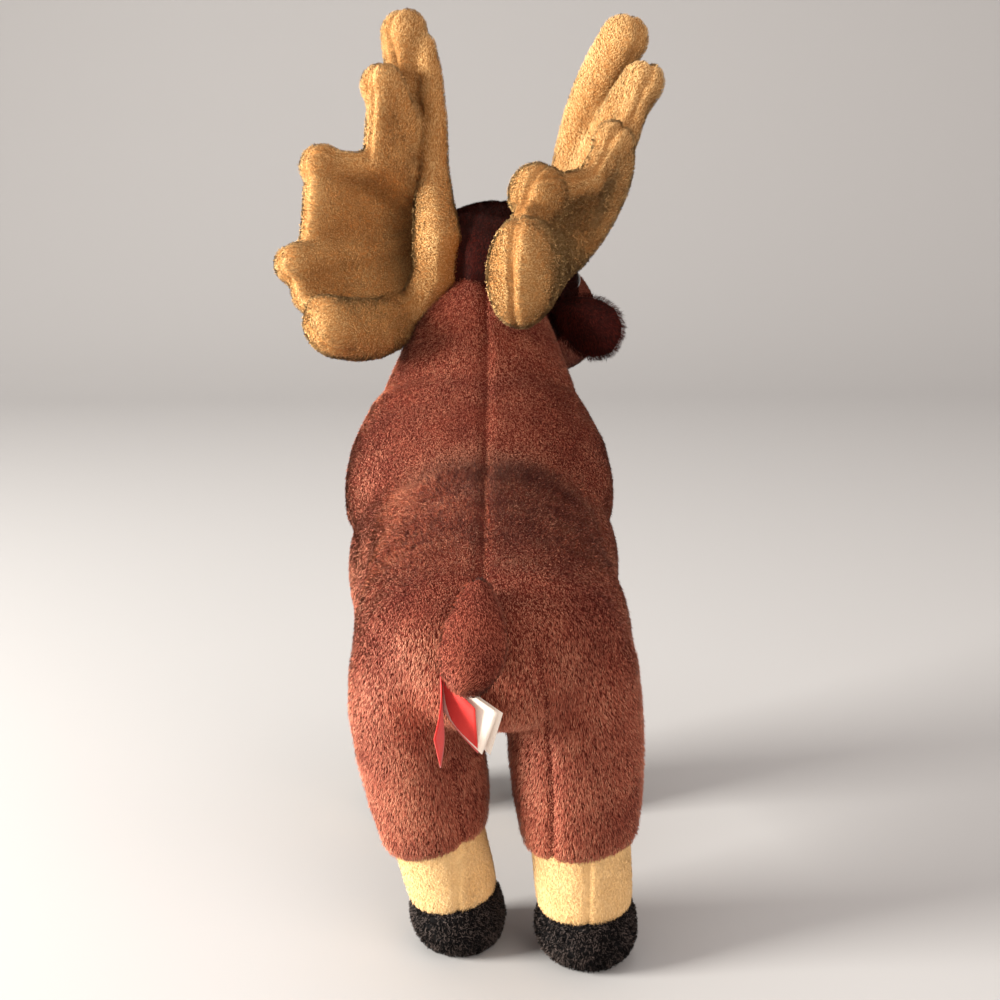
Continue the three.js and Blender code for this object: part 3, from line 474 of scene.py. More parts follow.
def pile(name, points, faces, comb, tints, per_mm2=6, length=1.9, width=0.2, lift=50, wander=13,
         tuft=1.0, gather=0.12, seams=None, seed=1, curl=0.0, floor=None, painted_light=None):
    """Sews short flat fibres all over some faces of a skin, combed one way, gathered in small tufts."""
    chance = np.random.default_rng(seed)
    faces = np.asarray(faces)
    normals = normals_of(points, faces)
    threes = np.vstack([faces[:, [0, 1, 2]], faces[:, [0, 2, 3]]])
    a, b, c = points[threes[:, 0]], points[threes[:, 1]], points[threes[:, 2]]
    area = np.linalg.norm(np.cross(b - a, c - a), axis=1) / 2
    count = int(area.sum() * per_mm2)
    picked = chance.choice(len(threes), count, p=area / area.sum())
    r, s = np.sqrt(chance.random(count)), chance.random(count)
    w = np.stack([1 - r, r * (1 - s), r * s], 1)
    root = np.einsum("nk,nkd->nd", w, points[threes[picked]])
    up = normed(np.einsum("nk,nkd->nd", w, normals[threes[picked]]))
    way = comb(root)
    way = way - (way * up).sum(1, keepdims=True) * up
    way = normed(way + 1e-4 * np.cross(up, X + 0.3 * Y))
    side = np.cross(up, way)
    turn = np.radians(wander) * (0.4 * waves(root, 34, seed + 1) + 0.5 * waves(root, 11, seed + 2)
                                 + 0.9 * chance.normal(size=count))
    way, side = (np.cos(turn)[:, None] * way + np.sin(turn)[:, None] * side,
                 np.cos(turn)[:, None] * side - np.sin(turn)[:, None] * way)
    share = 1 + 0.05 * waves(root, 14, seed + 3) + 0.16 * chance.normal(size=count)
    tall = length * share.clip(0.45, 1.45)
    raised = np.radians(lift + 1.5 * waves(root, 26, seed + 4) + 12 * chance.normal(size=count))
    raised = raised.clip(0.12, 1.5)
    if seams is not None:
        tall = tall * (1 - SEAM_CROP * np.exp(-((seams(root) / SEAM_REACH) ** 2)))
    half = tall / 2
    knee = root + half[:, None] * (np.cos(raised)[:, None] * way + np.sin(raised)[:, None] * up)
    bent = np.maximum(raised - KNEE_BEND, 0.05)
    tip = knee + half[:, None] * (np.cos(bent)[:, None] * way + np.sin(bent)[:, None] * up)
    cell = np.unique(np.floor(root / tuft + chance.normal(scale=0.2, size=root.shape)).astype(int),
                     axis=0, return_inverse=True)[1].ravel()
    size = np.bincount(cell)
    heart = np.stack([np.bincount(cell, root[:, k]) / size for k in range(3)], 1)[cell]
    pull = heart - root
    pull -= (pull * up).sum(1, keepdims=True) * up
    knee += 0.4 * gather * pull
    tip += gather * pull
    if curl:
        knee += curl * chance.normal(size=knee.shape)
        tip += curl * chance.normal(size=tip.shape)
    roll = 0.5 * chance.normal(size=count)
    flat = np.cos(roll)[:, None] * side + np.sin(roll)[:, None] * up
    base = root - ROOT_DEPTH * up
    thick = width / 2 * chance.uniform(0.75, 1.25, count)[:, None]
    blade = np.stack([base, knee + flat * thick, tip, knee - flat * thick], 1)
    if floor is not None:
        blade[..., 2] = blade[..., 2].clip(floor)
    tone = 0.5 + 0.1 * waves(root, 24, seed + 5) + 0.22 * chance.normal(size=count)
    # Where a painted highlight is given, the fibres there take lighter tints.
    if painted_light is not None:
        tone += painted_light(root)
    tint = (tone * len(tints)).clip(0, len(tints) - 1).astype(int)
    order = np.lexsort((root[:, 0].round(-1), root[:, 1].round(-1), root[:, 2].round(-1), tint))
    blade, tint = blade[order], tint[order]
    mesh = bpy.data.meshes.new(name)
    mesh.vertices.add(count * 4)
    mesh.vertices.foreach_set("co", metres(blade.reshape(-1, 3)).ravel())
    mesh.loops.add(count * 4)
    mesh.loops.foreach_set("vertex_index", np.arange(count * 4))
    mesh.polygons.add(count)
    mesh.polygons.foreach_set("loop_start", np.arange(count) * 4)
    mesh.polygons.foreach_set("loop_total", np.full(count, 4))
    mesh.polygons.foreach_set("use_smooth", np.ones(count, bool))
    for material in tints:
        mesh.materials.append(material)
    mesh.polygons.foreach_set("material_index", tint)
    # How far up its fibre each corner lies, which the nap uses to paint shade at the roots.
    rise = mesh.attributes.new("rise", "FLOAT", "POINT")
    rise.data.foreach_set("value", np.tile([0, 0.6, 1, 0.6], count))
    skin_way = mesh.attributes.new("skin_way", "FLOAT_VECTOR", "POINT")
    skin_way.data.foreach_set("vector", np.repeat(up[order], 4, axis=0).ravel())
    row = int(math.ceil(math.sqrt(count)))
    spot = np.stack([np.arange(count) % row, np.arange(count) // row], 1)
    corners = np.array([(0.5, 0.1), (0.9, 0.5), (0.5, 0.9), (0.1, 0.5)])
    uv = mesh.uv_layers.new(name="OFBake")
    uv.data.foreach_set("uv", ((spot[:, None] + corners[None]) / row).ravel())
    mesh.update()
    mesh.validate()
    return placed(name, mesh)


brown_ground = cloth("brown_plush", (74, 24, 16), (112, 44, 30), bump=0.8)
brown_pile = [
    cloth("brown_pile_deep", (92, 27, 17), (150, 68, 45), gloss=0.4, bump=0, sheen=0.08,
          sheen_tint=(1, 0.85, 0.7)),
    cloth("brown_pile_mid", (110, 37, 25), (176, 92, 64), gloss=0.5, bump=0, sheen=0.12,
          sheen_tint=(1, 0.85, 0.7)),
    cloth("brown_pile_bright", (130, 50, 35), (208, 134, 100), gloss=0.6, bump=0, sheen=0.16,
          sheen_tint=(1, 0.88, 0.75)),
]


def brown_comb(points):
    """The nap runs back along the spine, turns down over the rump and sides, and down the legs."""
    back = np.clip((points[:, 2] - 92) / 50, 0, 1)
    neck = np.clip(((points - neck_bend) @ neck_up + 20) / 40, 0, 1)
    return np.stack([0.22 * np.sign(points[:, 0]) * np.clip(np.abs(points[:, 0]) / 40, 0, 1) * back,
                     0.1 + 0.9 * back - 0.4 * neck, -1 + 0.62 * back - 0.5 * neck], 1)


def fold_painted_highlight(points):
    """Painted highlight: lighter fibre tints along the fold between the withers and the back, where the nap
    lies open to the light.
    """
    off = np.hypot(points[:, 1] + 36 - 0.008 * points[:, 0] ** 2, 0.6 * (points[:, 2] - 160))
    return 0.55 * np.exp(-((off / 9) ** 2) - (points[:, 0] / 34) ** 2)


torso_points, torso_faces, torso_own = part_of(0)
torso = solid_piece("torso_cloth", torso_points, torso_faces, brown_ground)
# The pile is sewn on in four parts, since one piece of so many fibres can't be exported whole.
centre = torso_points[torso_faces].mean(1)
body_pieces = [torso]
for name, side, seed in (("left", centre[:, 0] > 0, 11), ("right", centre[:, 0] <= 0, 12)):
    for end, half in (("front", centre[:, 1] < 0), ("back", centre[:, 1] >= 0)):
        shown = torso_faces[torso_own & side & half]
        body_pieces.append(pile(f"torso_pile_{end}_{name}", torso_points, shown, brown_comb, brown_pile,
                                seams=body_seams, seed=seed, painted_light=fold_painted_highlight))
for piece in body_pieces:
    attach(piece, "body")
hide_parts("torso")

# Neck: the same brown cloth, stuffed softly where it leaves the withers so that it can nod.
neck_points, neck_faces, neck_own = part_of(1)
neck = solid_piece("neck_cloth", neck_points, neck_faces, brown_ground)
neck_pile = pile("neck_pile", neck_points, neck_faces[neck_own], brown_comb, brown_pile,
                 seams=body_seams, seed=21)
for piece in (neck, neck_pile):
    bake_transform(piece)
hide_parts("neck")

# Thighs: four stuffed tubes of the body's cloth, closed at the cuff by a turned-in edge.
for number, (name, leg) in enumerate(legs.items(), 2):
    points, faces, own = part_of(number)
    low = np.clip((HEM + 0.5 - squared(leg, points, HEM)) / 2, 0, 1)
    away = normed((points - leg_axis(leg, HEM)[0]) * [1, 1, 0])
    points = points - away * HEM_TUCK * low[:, None]
    thigh = solid_piece("thigh_" + name, points, faces, brown_ground)
    keep = squared(leg, points[faces].mean(1), HEM) > HEM - 1
    thigh_pile = pile("thigh_pile_" + name, points, faces[own & keep], brown_comb, brown_pile,
                      seams=body_seams, seed=31 + number)
    for piece in (thigh, thigh_pile):
        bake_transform(piece)
    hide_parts("leg_" + name)

# Filling: loose white fibre, in one lump for the body, one for the head and one for each leg.
white_fibre = cloth("white_fibre", (214, 210, 202), (248, 246, 240), patch_size=9, grain_size=1.2, bump=1)
for name in [n for n in frame["nodes"] if "filling" in n]:
    solid = frame["nodes"][name]
    shape = [np.array(solid.matrix_world @ v.co) * 1000 - middle for v in solid.data.vertices]
    faces = [tuple(f.vertices) for f in solid.data.polygons]
    points, quads = melted([(np.array(shape), faces)], 2.6, 2)
    points = points + normals_of(points, quads) * (0.5 * waves(points, 7, 5) - 0.3)[:, None]
    lump = solid_piece(name + "_fibre", points, quads, white_fibre)
    body = next(b for b, held in frame["record"]["behaviour"]["bodies"].items() if name in held)
    if body.startswith("leg_"):
        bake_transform(lump)
    else:
        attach(lump, body)
    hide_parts(name)

# Head: darker cloth with painted shade, round at the crown, drawn in at the jaw, turned to the toy's right.
HEAD_TURN = math.radians(26)
head_turn = np.array([[math.cos(HEAD_TURN), math.sin(HEAD_TURN), 0],
                      [-math.sin(HEAD_TURN), math.cos(HEAD_TURN), 0], [0, 0, 1]])


def on_head(points):
    return np.asarray(points, float) @ head_turn.T + crown


def from_head(points):
    return (np.asarray(points, float) - crown) @ head_turn


# Each row: how far along to the front, top, bottom and half width, in shares.
CROWN_HEIGHT = 48
skull_rows = [
    (0, 0.58, 0.36, 0.25), (0.05, 0.76, 0.12, 0.56), (0.16, 0.91, -0.12, 0.83), (0.34, 0.98, -0.31, 0.98),
    (0.55, 1, -0.42, 1), (0.79, 0.9, -0.46, 0.95), (0.93, 0.76, -0.45, 0.83), (1, 0.6, -0.36, 0.6),
]
muzzle_rows = [
    (-0.3, 0.42, -0.4, 0.7), (0, 0.54, -0.5, 0.88), (0.25, 0.5, -0.64, 0.96), (0.55, 0.38, -0.75, 1),
    (0.8, 0.2, -0.73, 0.9), (0.94, 0.02, -0.6, 0.64), (1, -0.14, -0.44, 0.3),
]


def face_form(rows, start, length, width):
    return loft([
        on_head(ring((0, start - s * length, (top + low) / 2 * CROWN_HEIGHT), X, Z, half * width / 2,
                     (top - low) / 2 * CROWN_HEIGHT, square=SQUARENESS))
        for s, top, low, half in rows
    ])


head_points, head_faces = melted([face_form(skull_rows, 20, 76, 62)], 1.8, 8)


def head_seams(points):
    here = from_head(points)
    return np.where(here[:, 2] > 0, np.abs(here[:, 0]), FAR)


head_points = pressed(head_points, head_faces, head_seams(head_points), 1.6, 1.0)
# The head and ears are darker maroon cloth, painted darker still as painted shade from the antlers over the
# head.
maroon_and_shade_ground = cloth("maroon_plush", (26, 8, 6), (48, 17, 12), bump=0.8)
maroon_and_shade_pile = [
    cloth("maroon_pile_deep", (26, 7, 6), (56, 18, 14), bump=0, sheen=0.02,
          sheen_tint=(1, 0.6, 0.4), gloss=0.05),
    cloth("maroon_pile_mid", (36, 10, 8), (82, 29, 22), bump=0, sheen=0.03,
          sheen_tint=(1, 0.6, 0.4), gloss=0.06),
]
head = solid_piece("head_cloth", head_points, head_faces, maroon_and_shade_ground)
head_pile = pile("head_pile", head_points, head_faces,
                 lambda p: np.tile([0.0, 1.0, -0.35], (len(p), 1)) @ head_turn.T,
                 maroon_and_shade_pile, per_mm2=5.6, seams=head_seams, seed=41)
for piece in (head, head_pile):
    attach(piece, "head")
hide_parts("head")

# Muzzle: the body's brown again, long and heavy, with a centre seam and a drawn-in mouth line.
muzzle_points, muzzle_faces = melted([face_form(muzzle_rows, -44, 50, 54)], 1.8, 7)


def mouth(points):
    here = from_head(points)
    smile = here[:, 2] + 22 - 0.004 * here[:, 0] ** 2
    return np.where(here[:, 1] < -62, np.abs(smile), FAR)


muzzle_points = pressed(muzzle_points, muzzle_faces, mouth(muzzle_points), 2.2, 2.4)
muzzle_points = pressed(muzzle_points, muzzle_faces, np.abs(from_head(muzzle_points)[:, 0]), 1.4, 0.8)
muzzle = solid_piece("muzzle_cloth", muzzle_points, muzzle_faces, brown_ground)
muzzle_pile = pile("muzzle_pile", muzzle_points, muzzle_faces,
                   lambda p: np.tile([0.0, 1.0, -0.1], (len(p), 1)) @ head_turn.T,
                   brown_pile, length=1.6, lift=46, seams=mouth, seed=45)
for piece in (muzzle, muzzle_pile):
    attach(piece, "head")
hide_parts("muzzle")

# Eyes: turned black plastic domes, each on a shank that a washer locks inside the head.


def plastic(name, colour, marks, smoothest, dullest, coat=0.0):
    """A moulded plastic whose shine varies a little, with fine marks or flow lines in it."""
    material = bpy.data.materials.new(name)
    material.use_nodes = True
    tree = material.node_tree
    shader = tree.nodes["Principled BSDF"]
    shader.inputs["Base Color"].default_value = (*colour, 1)
    shader.inputs["Coat Weight"].default_value = coat
    noise, rough = tree.nodes.new("ShaderNodeTexNoise"), tree.nodes.new("ShaderNodeMapRange")
    noise.inputs["Scale"].default_value = marks
    rough.inputs["To Min"].default_value = smoothest
    rough.inputs["To Max"].default_value = dullest
    tree.links.new(noise.outputs["Fac"], rough.inputs["Value"])
    tree.links.new(rough.outputs["Result"], shader.inputs["Roughness"])
    return material


black_plastic = plastic("black_plastic", (0.006, 0.004, 0.004), 900, 0.07, 0.16, coat=0.6)
clear_plastic = plastic("clear_plastic", (0.62, 0.64, 0.67), 300, 0.3, 0.5)


def lathe(profile, place, outward):
    outward = normed(outward)
    across = normed(np.cross(outward, Z))
    return loft([ring(place + h * outward, across, np.cross(outward, across), r, r) for r, h in profile])


EYE_RADIUS, EYE_DOME, SHANK_RADIUS, SHANK_LENGTH = 4.5, 3.2, 1.8, 9
eye_profile = [(SHANK_RADIUS, -SHANK_LENGTH), (SHANK_RADIUS, -0.1), (EYE_RADIUS - 0.2, -0.1),
               (EYE_RADIUS, 0.1)]
eye_profile += [(EYE_RADIUS * math.cos(a), EYE_DOME * math.sin(a))
                for a in np.radians([12, 24, 36, 48, 60, 72, 83, 89])]
for side, name in ((1, "left"), (-1, "right")):
    eye_place = on_head([(side * 26.2, -45.6, 12)])[0]
    eye_way = np.array([side, -0.38, 0.06]) @ head_turn.T
    eye = solid_piece("eye_bead_" + name, *lathe(eye_profile, eye_place, eye_way), black_plastic)
    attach(eye, "head")
    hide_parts("eye_" + name)
    frame["nodes"]["eye_washer_" + name].data.materials[0] = clear_plastic

# Nostrils: two pads of black satin stitch, sewn side by side across the end of the muzzle.
black_thread = cloth("black_thread", (14, 12, 12), (44, 40, 38), patch_size=3, grain_size=0.25, bump=0.5)
THREAD_WIDTH, THREAD_RELIEF = 0.55, 0.12
for side, name in ((1, "left"), (-1, "right")):
    tilt = math.radians(28) * side
    across = np.array([math.cos(tilt), math.sin(tilt), 0])
    outward = np.array([math.sin(tilt), -math.cos(tilt), 0])
    rings = []
    for turn in np.linspace(-1.45, 1.45, 13):
        flat = ring((0, 0, 0), across, Z, 4.5 * math.cos(turn), 2.8 * math.cos(turn), sides=72)
        threads = THREAD_RELIEF * np.sin(flat @ across * 2 * math.pi / THREAD_WIDTH)
        raised = flat + (2.2 * math.sin(turn) + threads)[:, None] * outward
        rings.append(on_head(raised + [side * 10.8, -90.5, -4]))
    nostril = solid_piece("nostril_stitches_" + name, *loft(rings[::-1]), black_thread)
    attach(nostril, "head")
    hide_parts("nostril_" + name)

# Ears: two soft cupped drops of the head's cloth, hollow towards the front.
# Each row: how far out to the tip, half width and half thickness, in shares.
ear_rows = np.array([(0, 0.26, 0.55), (0.12, 0.42, 0.8), (0.3, 0.78, 1), (0.55, 1, 1), (0.78, 0.94, 0.9),
                     (0.93, 0.62, 0.6), (1, 0.3, 0.3)])
EAR_LENGTH, EAR_HALF_WIDTH, EAR_HALF_THICKNESS, EAR_DROOP = 35, 13, 5, math.radians(26)
for side, name in ((1, "left"), (-1, "right")):
    out = np.array([side * math.cos(EAR_DROOP), 0, -math.sin(EAR_DROOP)])
    wide = np.array([side * math.sin(EAR_DROOP), 0, math.cos(EAR_DROOP)])
    rings = []
    for share in np.linspace(0, 1, 15):
        half, thick = (np.interp(share, ear_rows[:, 0], ear_rows[:, k]) for k in (1, 2))
        edge = ring((0, 0, 0), wide, Y, half * EAR_HALF_WIDTH, thick * EAR_HALF_THICKNESS)
        cup = 1 - (edge @ wide / (half * EAR_HALF_WIDTH)) ** 2
        hollow = (edge[:, 1] < 0) * np.clip(share * 4, 0, 1) * cup
        edge[:, 1] += hollow * 1.25 * thick * EAR_HALF_THICKNESS
        rings.append(on_head(edge + share * EAR_LENGTH * out + [side * 28, -15, 3]))
    points, faces = melted([loft(rings)], 1.1, 5)
    ear = solid_piece("ear_cloth_" + name, points, faces, maroon_and_shade_ground)
    ear_pile = pile("ear_pile_" + name, points, faces,
                    lambda p: np.tile(out + [0, 0, -0.3], (len(p), 1)) @ head_turn.T,
                    maroon_and_shade_pile, length=3, lift=58, wander=40, seed=51 + side)
    for piece in (ear, ear_pile):
        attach(piece, "ear_" + name)
    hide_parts("ear_" + name)

# Antlers: five stuffed tines fanned out from one root, in brushed tan velour. Two flat halves are
# sewn together along the rim, which runs from blunt end to blunt end and dips in between.
ANTLER_SPAN, ANTLER_ROOT_RADIUS, RIM_RADIUS, CREASE_RADIUS, ANTLER_SAG = 104, 10.5, 6, 4, 0.04
# Each tine's end: outward, back and up in shares of the span, half its height and half its
# thickness in millimetres, and how far it bows inward and down, again in shares.
antler_tines = {
    "left": [(0.05, 0.2, 0.89, 10.5, 9.5, -0.03, 0), (0.085, 0.34, 0.669, 9.5, 9, 0, 0),
             (0.243, 0.6, 0.337, 9.5, 8.5, 0, 0), (0.251, 0.8, -0.053, 9, 9, 0, 0),
             (0.045, 0.88, -0.29, 14, 12, 0.04, 0.14)],
    "right": [(0.204, -0.08, 0.855, 10.5, 10, 0.1, 0), (0.33, 0.05, 0.669, 9, 9, 0.06, 0),
              (0.286, 0.27, 0.427, 9, 8.5, -0.05, 0), (0.095, 0.6, 0.235, 12, 12, 0.02, 0),
              (0.108, 0.8, -0.062, 22, 13.5, 0.02, 0)],
}
# The rim's dips between the tines, in the same shares. The first and last are deep creases.
antler_dips = {
    "left": [(0.037, 0.167, 0.482), (0.051, 0.47, 0.337), (0.229, 0.7, -0.009), (0.195, 0.84, -0.193)],
    "right": [(0.166, -0.009, 0.472), (0.29, 0.15, 0.457), (0.244, 0.42, 0.276), (0.083, 0.72, 0.15)],
}
# The left one's inner edge is a full roll that widens to a bulge against the head: points along it
# from the root and its radius there, in millimetres.
antler_folds = {
    "left": [(-3.4, 18.6, 87, 4.8), (-6.4, 18, 74, 4.8), (-7.8, 17, 55, 5), (-9, 21, 35.4, 6),
             (-13.7, 31, 18.2, 8.5), (-20.4, 41, 3.5, 10.5), (-19.2, 41, -11.6, 10),
             (-11.2, 41, -24.1, 8.5), (-3.8, 46, -30.6, 7.5)],
    "right": [],
}


def bolster(lumps):
    """A soft sausage through a row of lumps, each a centre and a radius."""
    lumps = np.array(lumps, float)
    rings = []
    for k, (*centre, radius) in enumerate(lumps):
        way = normed(lumps[min(k + 1, len(lumps) - 1), :3] - lumps[max(k - 1, 0), :3])
        across = normed(np.cross(way, Y))
        shift = 0.5 * radius * way * ((k == len(lumps) - 1) - float(k == 0))
        middle_here = np.array(centre) + shift
        rings.append(ring(middle_here, across, np.cross(way, across), radius, radius, sides=24))
    return loft(rings)


def tine(end, thick, bow, high, deep, waist):
    """One stuffed run from the root at 0 to a round end. The waist is how thin it is half way."""
    along = normed(end - 2 * bow)
    fan = normed(np.cross(thick, along))
    rings = []
    for share in (0, 0.15, 0.3, 0.45, 0.6, 0.75, 0.9, 1):
        half = [np.interp(share, (0, 0.4, 0.85, 1),
                          (ANTLER_ROOT_RADIUS, (ANTLER_ROOT_RADIUS + size) / 2 * waist, size, size))
                for size in (high, deep)]
        rings.append(ring(share * end + bow * 4 * share * (1 - share), fan, thick, *half, sides=24))
    for turn in (0.35, 0.7, 1.05, 1.35):
        rings.append(ring(end + min(high, deep) * math.sin(turn) * along, fan, thick,
                          high * math.cos(turn), deep * math.cos(turn), sides=24))
    return loft(rings)


tan_ground = cloth("tan_velour", (152, 102, 54), (190, 140, 84), patch_size=16, bump=0.6)
tan_pile = [
    cloth("tan_pile_deep", (164, 112, 60), (214, 166, 106), patch_size=16, bump=0, sheen=0.1,
          sheen_tint=(1, 0.9, 0.7)),
    cloth("tan_pile_mid", (186, 136, 80), (232, 190, 130), patch_size=16, bump=0, sheen=0.15,
          sheen_tint=(1, 0.9, 0.7)),
]
for side, name in ((1, "left"), (-1, "right")):
    rows = np.array(antler_tines[name])
    ends = rows[:, :3] * [side, 1, 1] * ANTLER_SPAN
    dips = np.array(antler_dips[name]) * [side, 1, 1] * ANTLER_SPAN
    root = np.array([side * 33, -22, 29])
    across = normed(np.cross(ends[:-1], ends[1:]))
    thicks = normed(np.vstack([across[:1], across[:-1] + across[1:], across[-1:]]))
    bows = [np.array([-side * row[5], -ANTLER_SAG, -row[6]]) * ANTLER_SPAN for row in rows]
    straight = np.array([0, -ANTLER_SAG, 0]) * ANTLER_SPAN
    forms, rims = [], []
    for end, thick, row, bow in zip(ends, thicks, rows, bows):
        forms.append(tine(end, thick, bow, row[3], row[4], 0.85))
    for gap, dip in enumerate(dips):
        thickness = CREASE_RADIUS if gap in (0, 3) else RIM_RADIUS
        for number in (gap, gap + 1):
            rims.append((ends[number], dip, across[gap]))
            for share in (1,) if gap == 0 else np.linspace(0.14, 1, 7):
                end = ends[number] * (1 - share) + dip * share
                bow = bows[number] * (1 - share) + straight * share
                forms.append(tine(end, across[gap], bow, RIM_RADIUS, thickness, 0.8))
    if antler_folds[name]:
        forms.append(bolster(antler_folds[name]))
    points, faces = melted([(on_head(p + root), f) for p, f in forms], 1.6, 7)

    def edge_seams(points):
        here = from_head(points) - root
        near = [np.full(len(here), float(FAR))]
        for end, thick, row in zip(ends, thicks, rows):
            along = normed(end)
            past = (here - end) @ along
            off = np.linalg.norm(here - end - past[:, None] * along, axis=1)
            near.append(np.where((past > 0) & (off < 1.1 * row[3]), np.abs((here - end) @ thick), FAR))
        for end, dip, normal in rims:
            a, b, off = (here @ np.linalg.inv(np.stack([end, dip, normal], 1)).T).T
            near.append(np.where((a > -0.05) & (b > -0.05) & (a + b > 1.02), np.abs(off), FAR))
        return np.minimum.reduce(near)

    points = pressed(points, faces, edge_seams(points), 1.2, 1.3)
    antler = solid_piece("antler_velour_" + name, points, faces, tan_ground)
    height = points[faces].mean(1)[:, 2]
    halves = [pile(f"antler_pile_{end}_{name}", points, faces[half],
                   lambda p: p - on_head([root])[0], tan_pile, per_mm2=4.6, length=1.6,
                   width=0.25, lift=48, wander=26, tuft=1.2, gather=0.4, seams=edge_seams, seed=61 + side)
              for end, half in (("low", height < np.median(height)), ("high", height >= np.median(height)))]
    for piece in (antler, *halves):
        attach(piece, "antler_" + name)
    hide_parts("antler_" + name)

# Cuffs: one cream velour band on each leg, drawn in where it is sewn to the thigh and the hoof.
CUFF_LOW = 18.6
cream_ground = cloth("cream_velour", (214, 170, 112), (238, 200, 142), patch_size=14, bump=0.6)
cream_pile = [
    cloth("cream_pile_deep", (206, 158, 102), (234, 190, 132), patch_size=14, bump=0, sheen=0.05),
    cloth("cream_pile_mid", (220, 174, 118), (244, 206, 150), patch_size=14, bump=0, sheen=0.06),
]
for number, (name, leg) in enumerate(legs.items()):
    rings = [leg_ring(leg, h, fuller) for h, fuller in
             ((16, -2.8), (CUFF_LOW, -2.2), (20, -1.2), (23, -0.7), (30, -0.6), (38, -0.8), (43.5, -1.3),
              (46.5, -2.4), (49, -3.6))]
    points, faces = melted([loft(rings)], 1.3, 4)

    def cuff_seam(points):
        x = leg["hip"][0] + leg["lean"] * leg["side"]
        return np.where(points[:, 1] > leg["hip"][1] + leg["step"], np.abs(points[:, 0] - x - 1), FAR)

    points = pressed(points, faces, cuff_seam(points), 1.0, 0.7)
    cuff = solid_piece("cuff_velour_" + name, points, faces, cream_ground)
    centres = points[faces].mean(1)
    shown = (squared(leg, centres, 20) > CUFF_LOW) & (squared(leg, centres, HEM) < HEM + 1.5)
    cuff_pile = pile("cuff_pile_" + name, points, faces[shown],
                     lambda p: np.tile([0.0, 0.0, -1.0], (len(p), 1)), cream_pile, per_mm2=5, length=1.1,
                     width=0.22, lift=28, wander=12, tuft=1.3, seams=cuff_seam, seed=71 + number)
    for piece in (cuff, cuff_pile):
        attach(piece, "leg_" + name)
    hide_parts("cuff_" + name)

# Hooves: black looped fleece, round at the toe and flat underneath.
black_ground = cloth("black_fleece", (6, 5, 6), (18, 16, 16), patch_size=6, grain_size=1, bump=1)
black_loops = [
    cloth("black_loops_deep", (4, 4, 4), (18, 15, 15), patch_size=6, bump=0, gloss=0.05),
    cloth("black_loops_mid", (18, 15, 15), (76, 66, 62), patch_size=6, bump=0, gloss=0.15),
]
for number, (name, leg) in enumerate(legs.items()):
    rings = [leg_ring(leg, h, fuller) for h, fuller in
             ((0.6, -2.2), (1.3, -1.3), (4.3, -0.7), (9.5, -0.3), (14.5, -0.4), (18, -0.8), (19.4, -2.1))]
    points, faces = melted([loft(rings)], 1.3, 3)
    points[:, 2] = points[:, 2].clip(0.4)
    hoof = solid_piece("hoof_fleece_" + name, points, faces, black_ground)
    hoof_pile = pile("hoof_loops_" + name, points, faces[points[faces].mean(1)[:, 2] > 0.9],
                     lambda p: np.tile([0.0, 0.2, -1.0], (len(p), 1)), black_loops, per_mm2=4,
                     length=1.5, width=0.36, lift=62, wander=80, tuft=1.5, gather=0.7, curl=0.2, floor=0.1,
                     seed=81 + number)
    for piece in (hoof, hoof_pile):
        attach(piece, "leg_" + name)
    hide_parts("hoof_" + name)

# Tail: a flat stuffed drop whose nap curls round at its blunt end.
TAIL_LENGTH, TAIL_SLOPE, TAIL_HALF_WIDTH, TAIL_HALF_THICKNESS = 40, math.radians(44), 11, 6.5
tail_root = np.array([5, 80, 145])
tail_down = np.array([0, math.sin(TAIL_SLOPE), -math.cos(TAIL_SLOPE)])
tail_out = np.array([0, math.cos(TAIL_SLOPE), math.sin(TAIL_SLOPE)])
rings = []
for s, half, thick in ((0, 0.3, 0.5), (0.14, 0.55, 0.75), (0.35, 0.85, 1), (0.6, 1, 1), (0.8, 0.85, 0.95),
                       (0.94, 0.56, 0.75), (1, 0.3, 0.5)):
    curl = 2.5 * max(s - 0.6, 0) / 0.4
    rings.append(ring(tail_root + s * TAIL_LENGTH * tail_down + curl * tail_out + 4 * s * X, X, tail_out,
                      half * TAIL_HALF_WIDTH, thick * TAIL_HALF_THICKNESS))
tail_points, tail_faces = melted([loft(rings)], 1.4, 6)
tail_tip = rings[-1].mean(0)


def tail_comb(points):
    from_tip = points - tail_tip
    spin = np.cross(tail_down, from_tip)
    near = np.exp(-((np.linalg.norm(from_tip, axis=1) / 7) ** 2))[:, None]
    return tail_down + near * (1.2 * spin / (np.linalg.norm(spin, axis=1, keepdims=True) + 1e-6))


tail = solid_piece("tail_cloth", tail_points, tail_faces, brown_ground)
tail_pile = pile("tail_pile", tail_points, tail_faces, tail_comb, brown_pile[:2], length=1.7, lift=38,
                 wander=12, seed=91)
for piece in (tail, tail_pile):
    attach(piece, "tail")
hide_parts("tail")

# Label: a red satin ribbon folded at the seam, and inside it a white one, both left blank.
red_satin = cloth("red_satin", (196, 30, 24), (232, 58, 44), patch_size=9, grain_size=0.3,
                  sheen=0.2, bump=0.3, gloss=0.6)
white_satin = cloth("white_satin", (226, 212, 198), (250, 240, 228), patch_size=9, grain_size=0.3, bump=0.3)
LABEL_WIDTH, LABEL_THICKNESS, LEAF_STEPS, LEAF_START = 14, 0.3, 14, 0.03
seam_top = np.array([17.6, 91.2, 120])
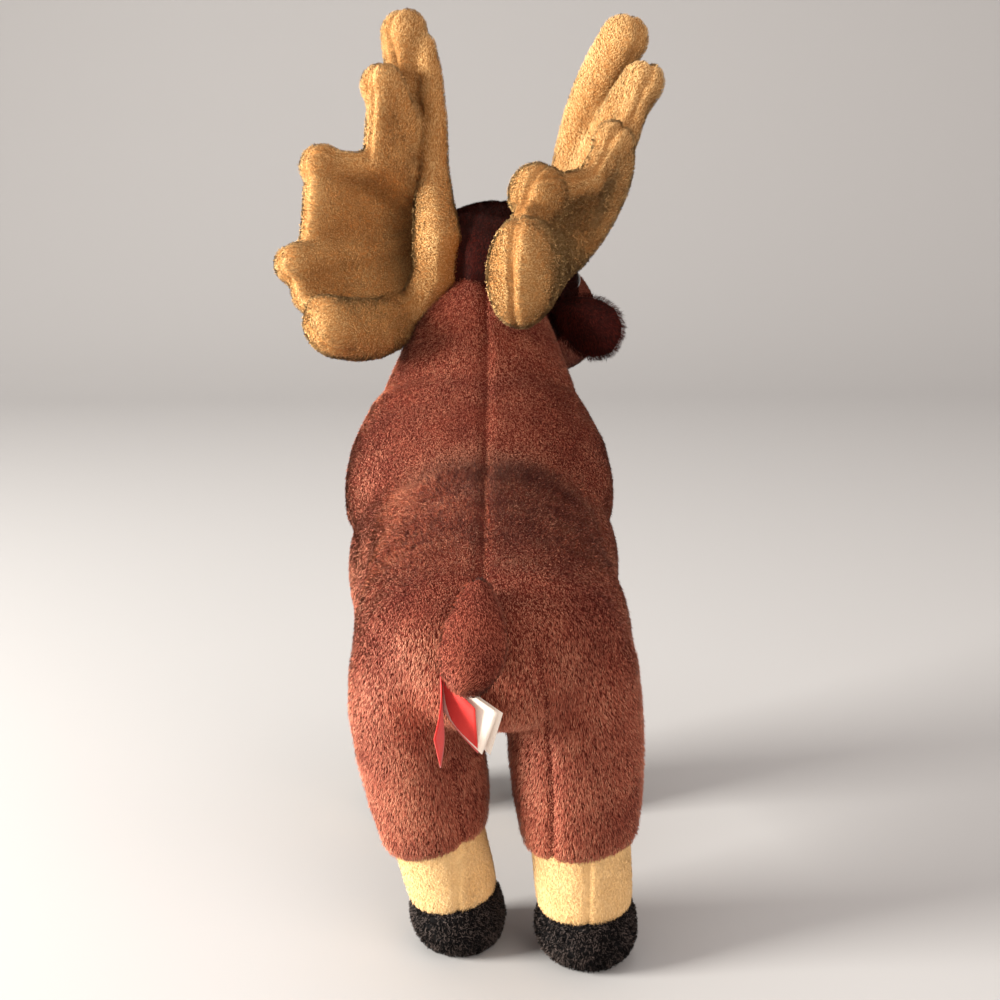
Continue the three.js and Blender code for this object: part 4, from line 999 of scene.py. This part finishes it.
# Each leaf: its way out from the seam, its length, its bulge, and where its free edge hangs.
for name, satin, leaves in (
    ("red", red_satin, ((0.1, 0.62, -0.78, 24, 1.2, -2, -8, -13),
                        (-0.6, 0.55, -0.58, 18, -1, -1, -2, -16))),
    ("white", white_satin, ((-0.75, 0.45, -0.48, 24, -1, 5, -2, -15),
                            (-0.78, 0.34, -0.5, 25, -0.6, 4, -2, -15))),
):
    rows, falls, flat_length = [], [], 0
    for number, (x, y, z, reach, bulge, *lean) in enumerate(leaves):
        way = normed(np.array([x, y, z]))
        across = normed(np.cross(way, -Z))
        first = number == 0
        steps = np.linspace(1, LEAF_START, LEAF_STEPS) if first else np.linspace(LEAF_START, 1, LEAF_STEPS)
        flat_length += reach
        for t in steps:
            rows.append(seam_top + t * reach * way + bulge * math.sin(math.pi * t) * across
                        + (0.2 if first else -0.2) * X * (1 - t))
            falls.append(t * np.array(lean) + (1 - t) * np.array([0, -1.5, -LABEL_WIDTH]))
    rows = np.array(rows)
    drop = np.linspace(0, 1, 9)
    sheet = rows[:, None] + drop[None, :, None] * np.array(falls)[:, None]
    along = np.gradient(sheet, axis=0)
    facing = np.cross(along, np.gradient(sheet, axis=1))
    facing /= np.linalg.norm(facing, axis=2, keepdims=True)
    outer = (sheet + facing * LABEL_THICKNESS / 2).reshape(-1, 3)
    inner = (sheet - facing * LABEL_THICKNESS / 2).reshape(-1, 3)
    grid = np.arange(len(outer)).reshape(sheet.shape[:2])
    a = np.stack([grid[:-1, :-1], grid[1:, :-1], grid[1:, 1:], grid[:-1, 1:]], 2).reshape(-1, 4)
    edge = np.concatenate([grid[0, :], grid[1:, -1], grid[-1, -2::-1], grid[-2:0:-1, 0]])
    count = len(outer)
    rim = np.stack([edge, np.roll(edge, -1), np.roll(edge, -1) + count, edge + count], 1)
    ribbon = solid_piece("label_" + name, np.vstack([outer, inner]),
                         np.vstack([a, a[:, ::-1] + count, rim]), satin)
    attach(ribbon, "label")
    if name == "red":
        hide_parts("label")
